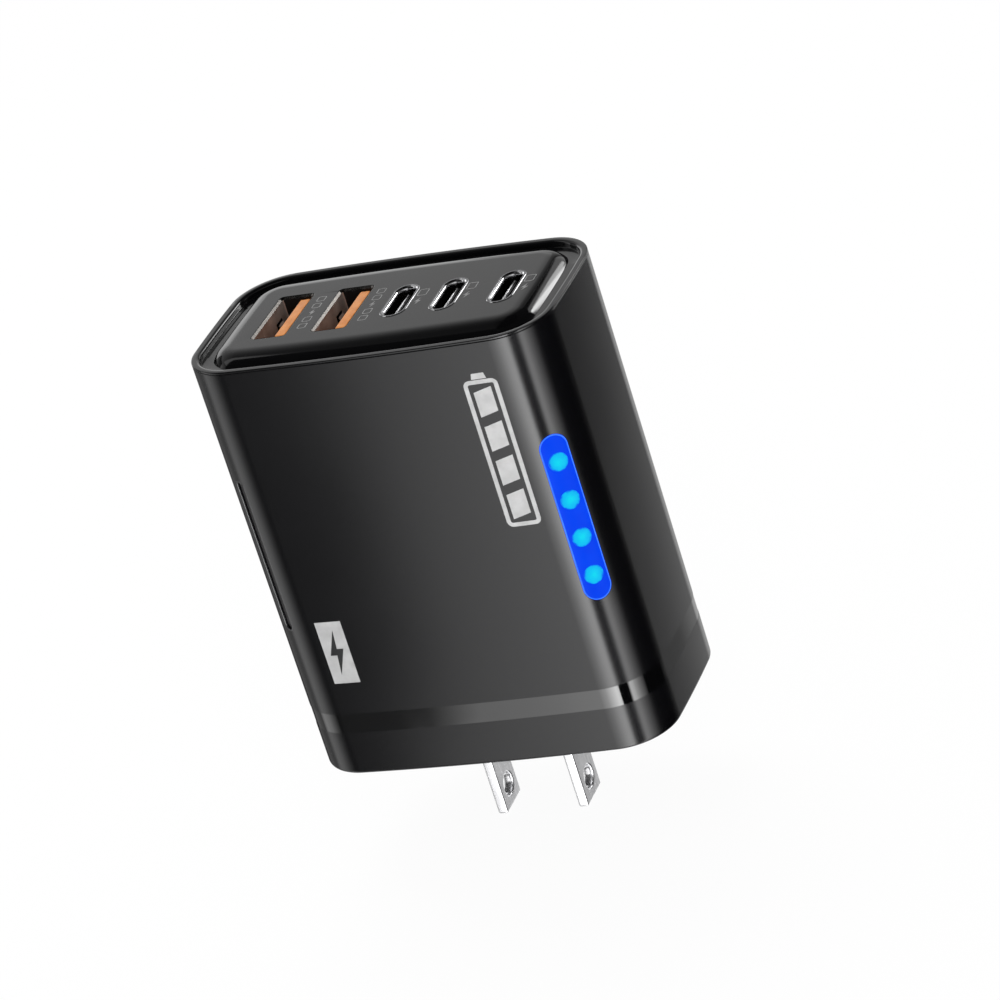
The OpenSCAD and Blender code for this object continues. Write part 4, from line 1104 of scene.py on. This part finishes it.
# %% Marks beside the ports
shapes = []
for x in LARGE_X:
    for k in range(5):
        cx, cy = x + 4.55, PORT_Y + 4.1 - 2.05 * k
        shapes.append(bolt(1.3, 1.9, cx, cy) if k == 2 else outline_band(1.35, 1.5, 0.3, 0.16, cx, cy))
for x in SMALL_X:
    shapes.append(outline_band(1.5, 2.0, 0.3, 0.16, x + 3.0, PORT_Y + 1.75))
    shapes.append(bolt(1.5, 2.1, x + 3.0, PORT_Y - 0.9))
points, faces = merged(*shapes)
marks = new_piece("port_marks", at_z(points, PANEL_Z + 0.008), faces)
wear(marks, thin_ink)
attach(marks, "root")
print("port marks", len(marks.data.polygons), "faces")

# %% [markdown]
# ## Turns of the choke
#
# Inside, a ring of ferrite carries two windings of enamelled copper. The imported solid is
# only their outer shape. A tree bends one wire loop round the section of the ring and
# plants a copy at every turn, which is how a winding machine lays them too.

# %% Choke winding
lo, hi = (np.array(v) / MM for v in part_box("choke_winding"))
ring_lo, ring_hi = (np.array(v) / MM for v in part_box("choke_core"))
middle = (ring_lo + ring_hi) / 2
ring_out, ring_in, WIRE, TURNS = (ring_hi[0] - ring_lo[0]) / 2, 3.2, 0.72, 10
slack = WIRE + 0.06
# warm, with the shine of its varnish
copper = finish("enamelled_copper_wire", "#b4642e", 0.28, 1.5, "#a85a28", "#c47438", Metallic=1.0)
sizes = {"Loop width": ("Float", (ring_out - ring_in + slack) * MM),
         "Loop height": ("Float", (ring_hi[1] - ring_lo[1] + slack) * MM),
         "Wire": ("Float", WIRE / 2 * MM), "Finish": ("Material", copper)}
tree, size = new_tree("choke_turns", sizes)
loop = add(tree, "GeometryNodeCurvePrimitiveQuadrilateral",
           {"Width": size["Loop width"], "Height": size["Loop height"]})
round_loop = add(tree, "GeometryNodeFilletCurve",
                 {"Curve": loop.outputs[0], "Count": 3, "Radius": size["Wire"]}, mode="POLY")
section = add(tree, "GeometryNodeCurvePrimitiveCircle", {"Resolution": 10, "Radius": size["Wire"]})
close_tree(tree, plant(tree, size["Geometry"], swept(tree, round_loop, section)), size["Finish"])
mid_r, places, turns = (ring_out + ring_in) / 2, [], []
for half in (0.0, 180.0):
    for k in range(TURNS):
        a = math.radians(half - 58 + 116 * k / (TURNS - 1))
        places.append(middle + np.array([mid_r * math.cos(a), 0, mid_r * math.sin(a)]))
        turns.append((0, -a, 0))
winding = grow(spots("choke_turns", places, turns), tree, sizes)
sharpen(winding, 50)
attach(winding, "root")
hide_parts("choke_winding")
box = np.array([v.co for v in winding.data.vertices]) / MM
print("choke turns", len(places), "box", np.round((box.min(0), box.max(0)), 2).tolist())
print("its solid", np.round((lo, hi), 2).tolist())

# %% [markdown]
# ## Finishes for the other solids
#
# The solids whose shape is right stay as they are. Each gets the finish of the real part:
# solder mask on the boards, printed sleeves on the capacitors, ferrite, tape, lacquer and
# moulded nylon. They hide behind the sleeve, but they show when the model is opened, and
# every one is a pattern in real millimetres, not a flat colour.

# %% Plain finishes
DRESS = [
    (lens, "light_lens"),
    (pipe, "led_1 led_2 led_3 led_4"),
    (gold, "usb_a_contacts_1 usb_a_contacts_2 usb_c_contacts_1 usb_c_contacts_2 usb_c_contacts_3"),
    (finish("dark_smoked_insert", "#060607", 0.25, 1.0, "#040405", "#0a0a0b"), "side_strip"),
    # glossy lacquer over the weave of the boards
    (finish("green_solder_mask", "#17502c", 0.32, 2.4, "#134626", "#1e6036", (0.5, 0.01)),
     "port_board main_board light_board"),
    # glass fibres make the nylon dull
    (finish("black_glass_filled_nylon", "#18181a", 0.5, 0.6, "#141416", "#202023", (0.25, 0.01)),
     "board_link choke_base transformer_bobbin"),
    (finish("grey_moulded_pbt", "#3c3c40", 0.45, 1.2, "#36363a", "#44444a", (0.3, 0.008)), "blade_holder"),
    (finish("bare_copper_strip", "#b87a42", 0.3, 0.5, "#aa6e38", "#c6884e", Metallic=1.0),
     "mains_lead_left mains_lead_right"),
    (finish("cream_ceramic_tube", "#d8d0b4", 0.4, 0.8, "#cfc6a8", "#e2dac0"), "fuse"),
    (finish("yellow_film_capacitor_case", "#dcae2c", 0.35, 1.5, "#d4a424", "#e6ba38"), "x_capacitor"),
    # dipped in epoxy, so slightly wavy
    (finish("blue_epoxy_dip", "#2a5cc0", 0.3, 1.0, "#2452b0", "#3268d0", (1.2, 0.03)), "y_capacitor"),
    (finish("green_epoxy_coat", "#44563a", 0.4, 1.0, "#3c4e32", "#4e6242", (0.4, 0.02)), "choke_core"),
    (finish("black_epoxy_package", "#17171a", 0.55, 0.3, "#131315", "#1e1e21", (0.12, 0.006)),
     "bridge_rectifier power_switch controller_chip rectifier_chip"),
    (finish("printed_pvc_sleeve", "#24272e", 0.3, 3.0, "#1e2127", "#2c3038"),
     "bulk_capacitor_1 bulk_capacitor_2"),
    # dark ceramic with a faint sparkle
    (finish("sintered_ferrite", "#33333a", 0.55, 0.4, "#2b2b30", "#3d3d42", (0.2, 0.012)),
     "transformer_core"),
    (finish("yellow_polyester_tape", "#e2c236", 0.25, 2.0, "#dab92c", "#ecce46", stretch=(0.2, 1, 1)),
     "transformer_winding"),
    # drawing lines run along the can, rolling lines across the sheet
    (finish("drawn_aluminium_can", "#b8bbc0", 0.28, 0.4, "#acafb4", "#c4c7cc", None, (8, 1, 8), Metallic=1.0),
     "output_capacitor_1 output_capacitor_2 output_capacitor_3"),
    (finish("rolled_aluminium_sheet", "#b0b4b9", 0.35, 0.3, "#a4a8ad", "#bcc0c5", None, (0.1, 1, 1), Metallic=1.0),
     "heat_spreader"),
    (finish("pressed_iron_powder", "#46464b", 0.6, 0.25, "#3c3c40", "#525257", (0.2, 0.02)),
     "buck_inductor_1 buck_inductor_2"),
    (finish("white_epoxy_package", "#e4e2da", 0.5, 0.4, "#dcdad0", "#ecebe4", (0.15, 0.005)), "optocoupler"),
    (finish("blue_silicone_pad", "#8ca4b6", 0.7, 1.5, "#849cae", "#96aebf", (0.3, 0.01)), "thermal_pad"),
    (finish("cream_fish_paper", "#d4cfaa", 0.65, 0.5, "#ccc6a0", "#ddd8b6", (0.2, 0.008)),
     "insulation_sheet"),
]
for look, names in DRESS:
    for name in names.split():
        wear(nodes[name], look)
bare = [n for n in nodes if not nodes[n].data.materials or not nodes[n].data.materials[0].use_nodes]
print("solids without a finish:", bare)
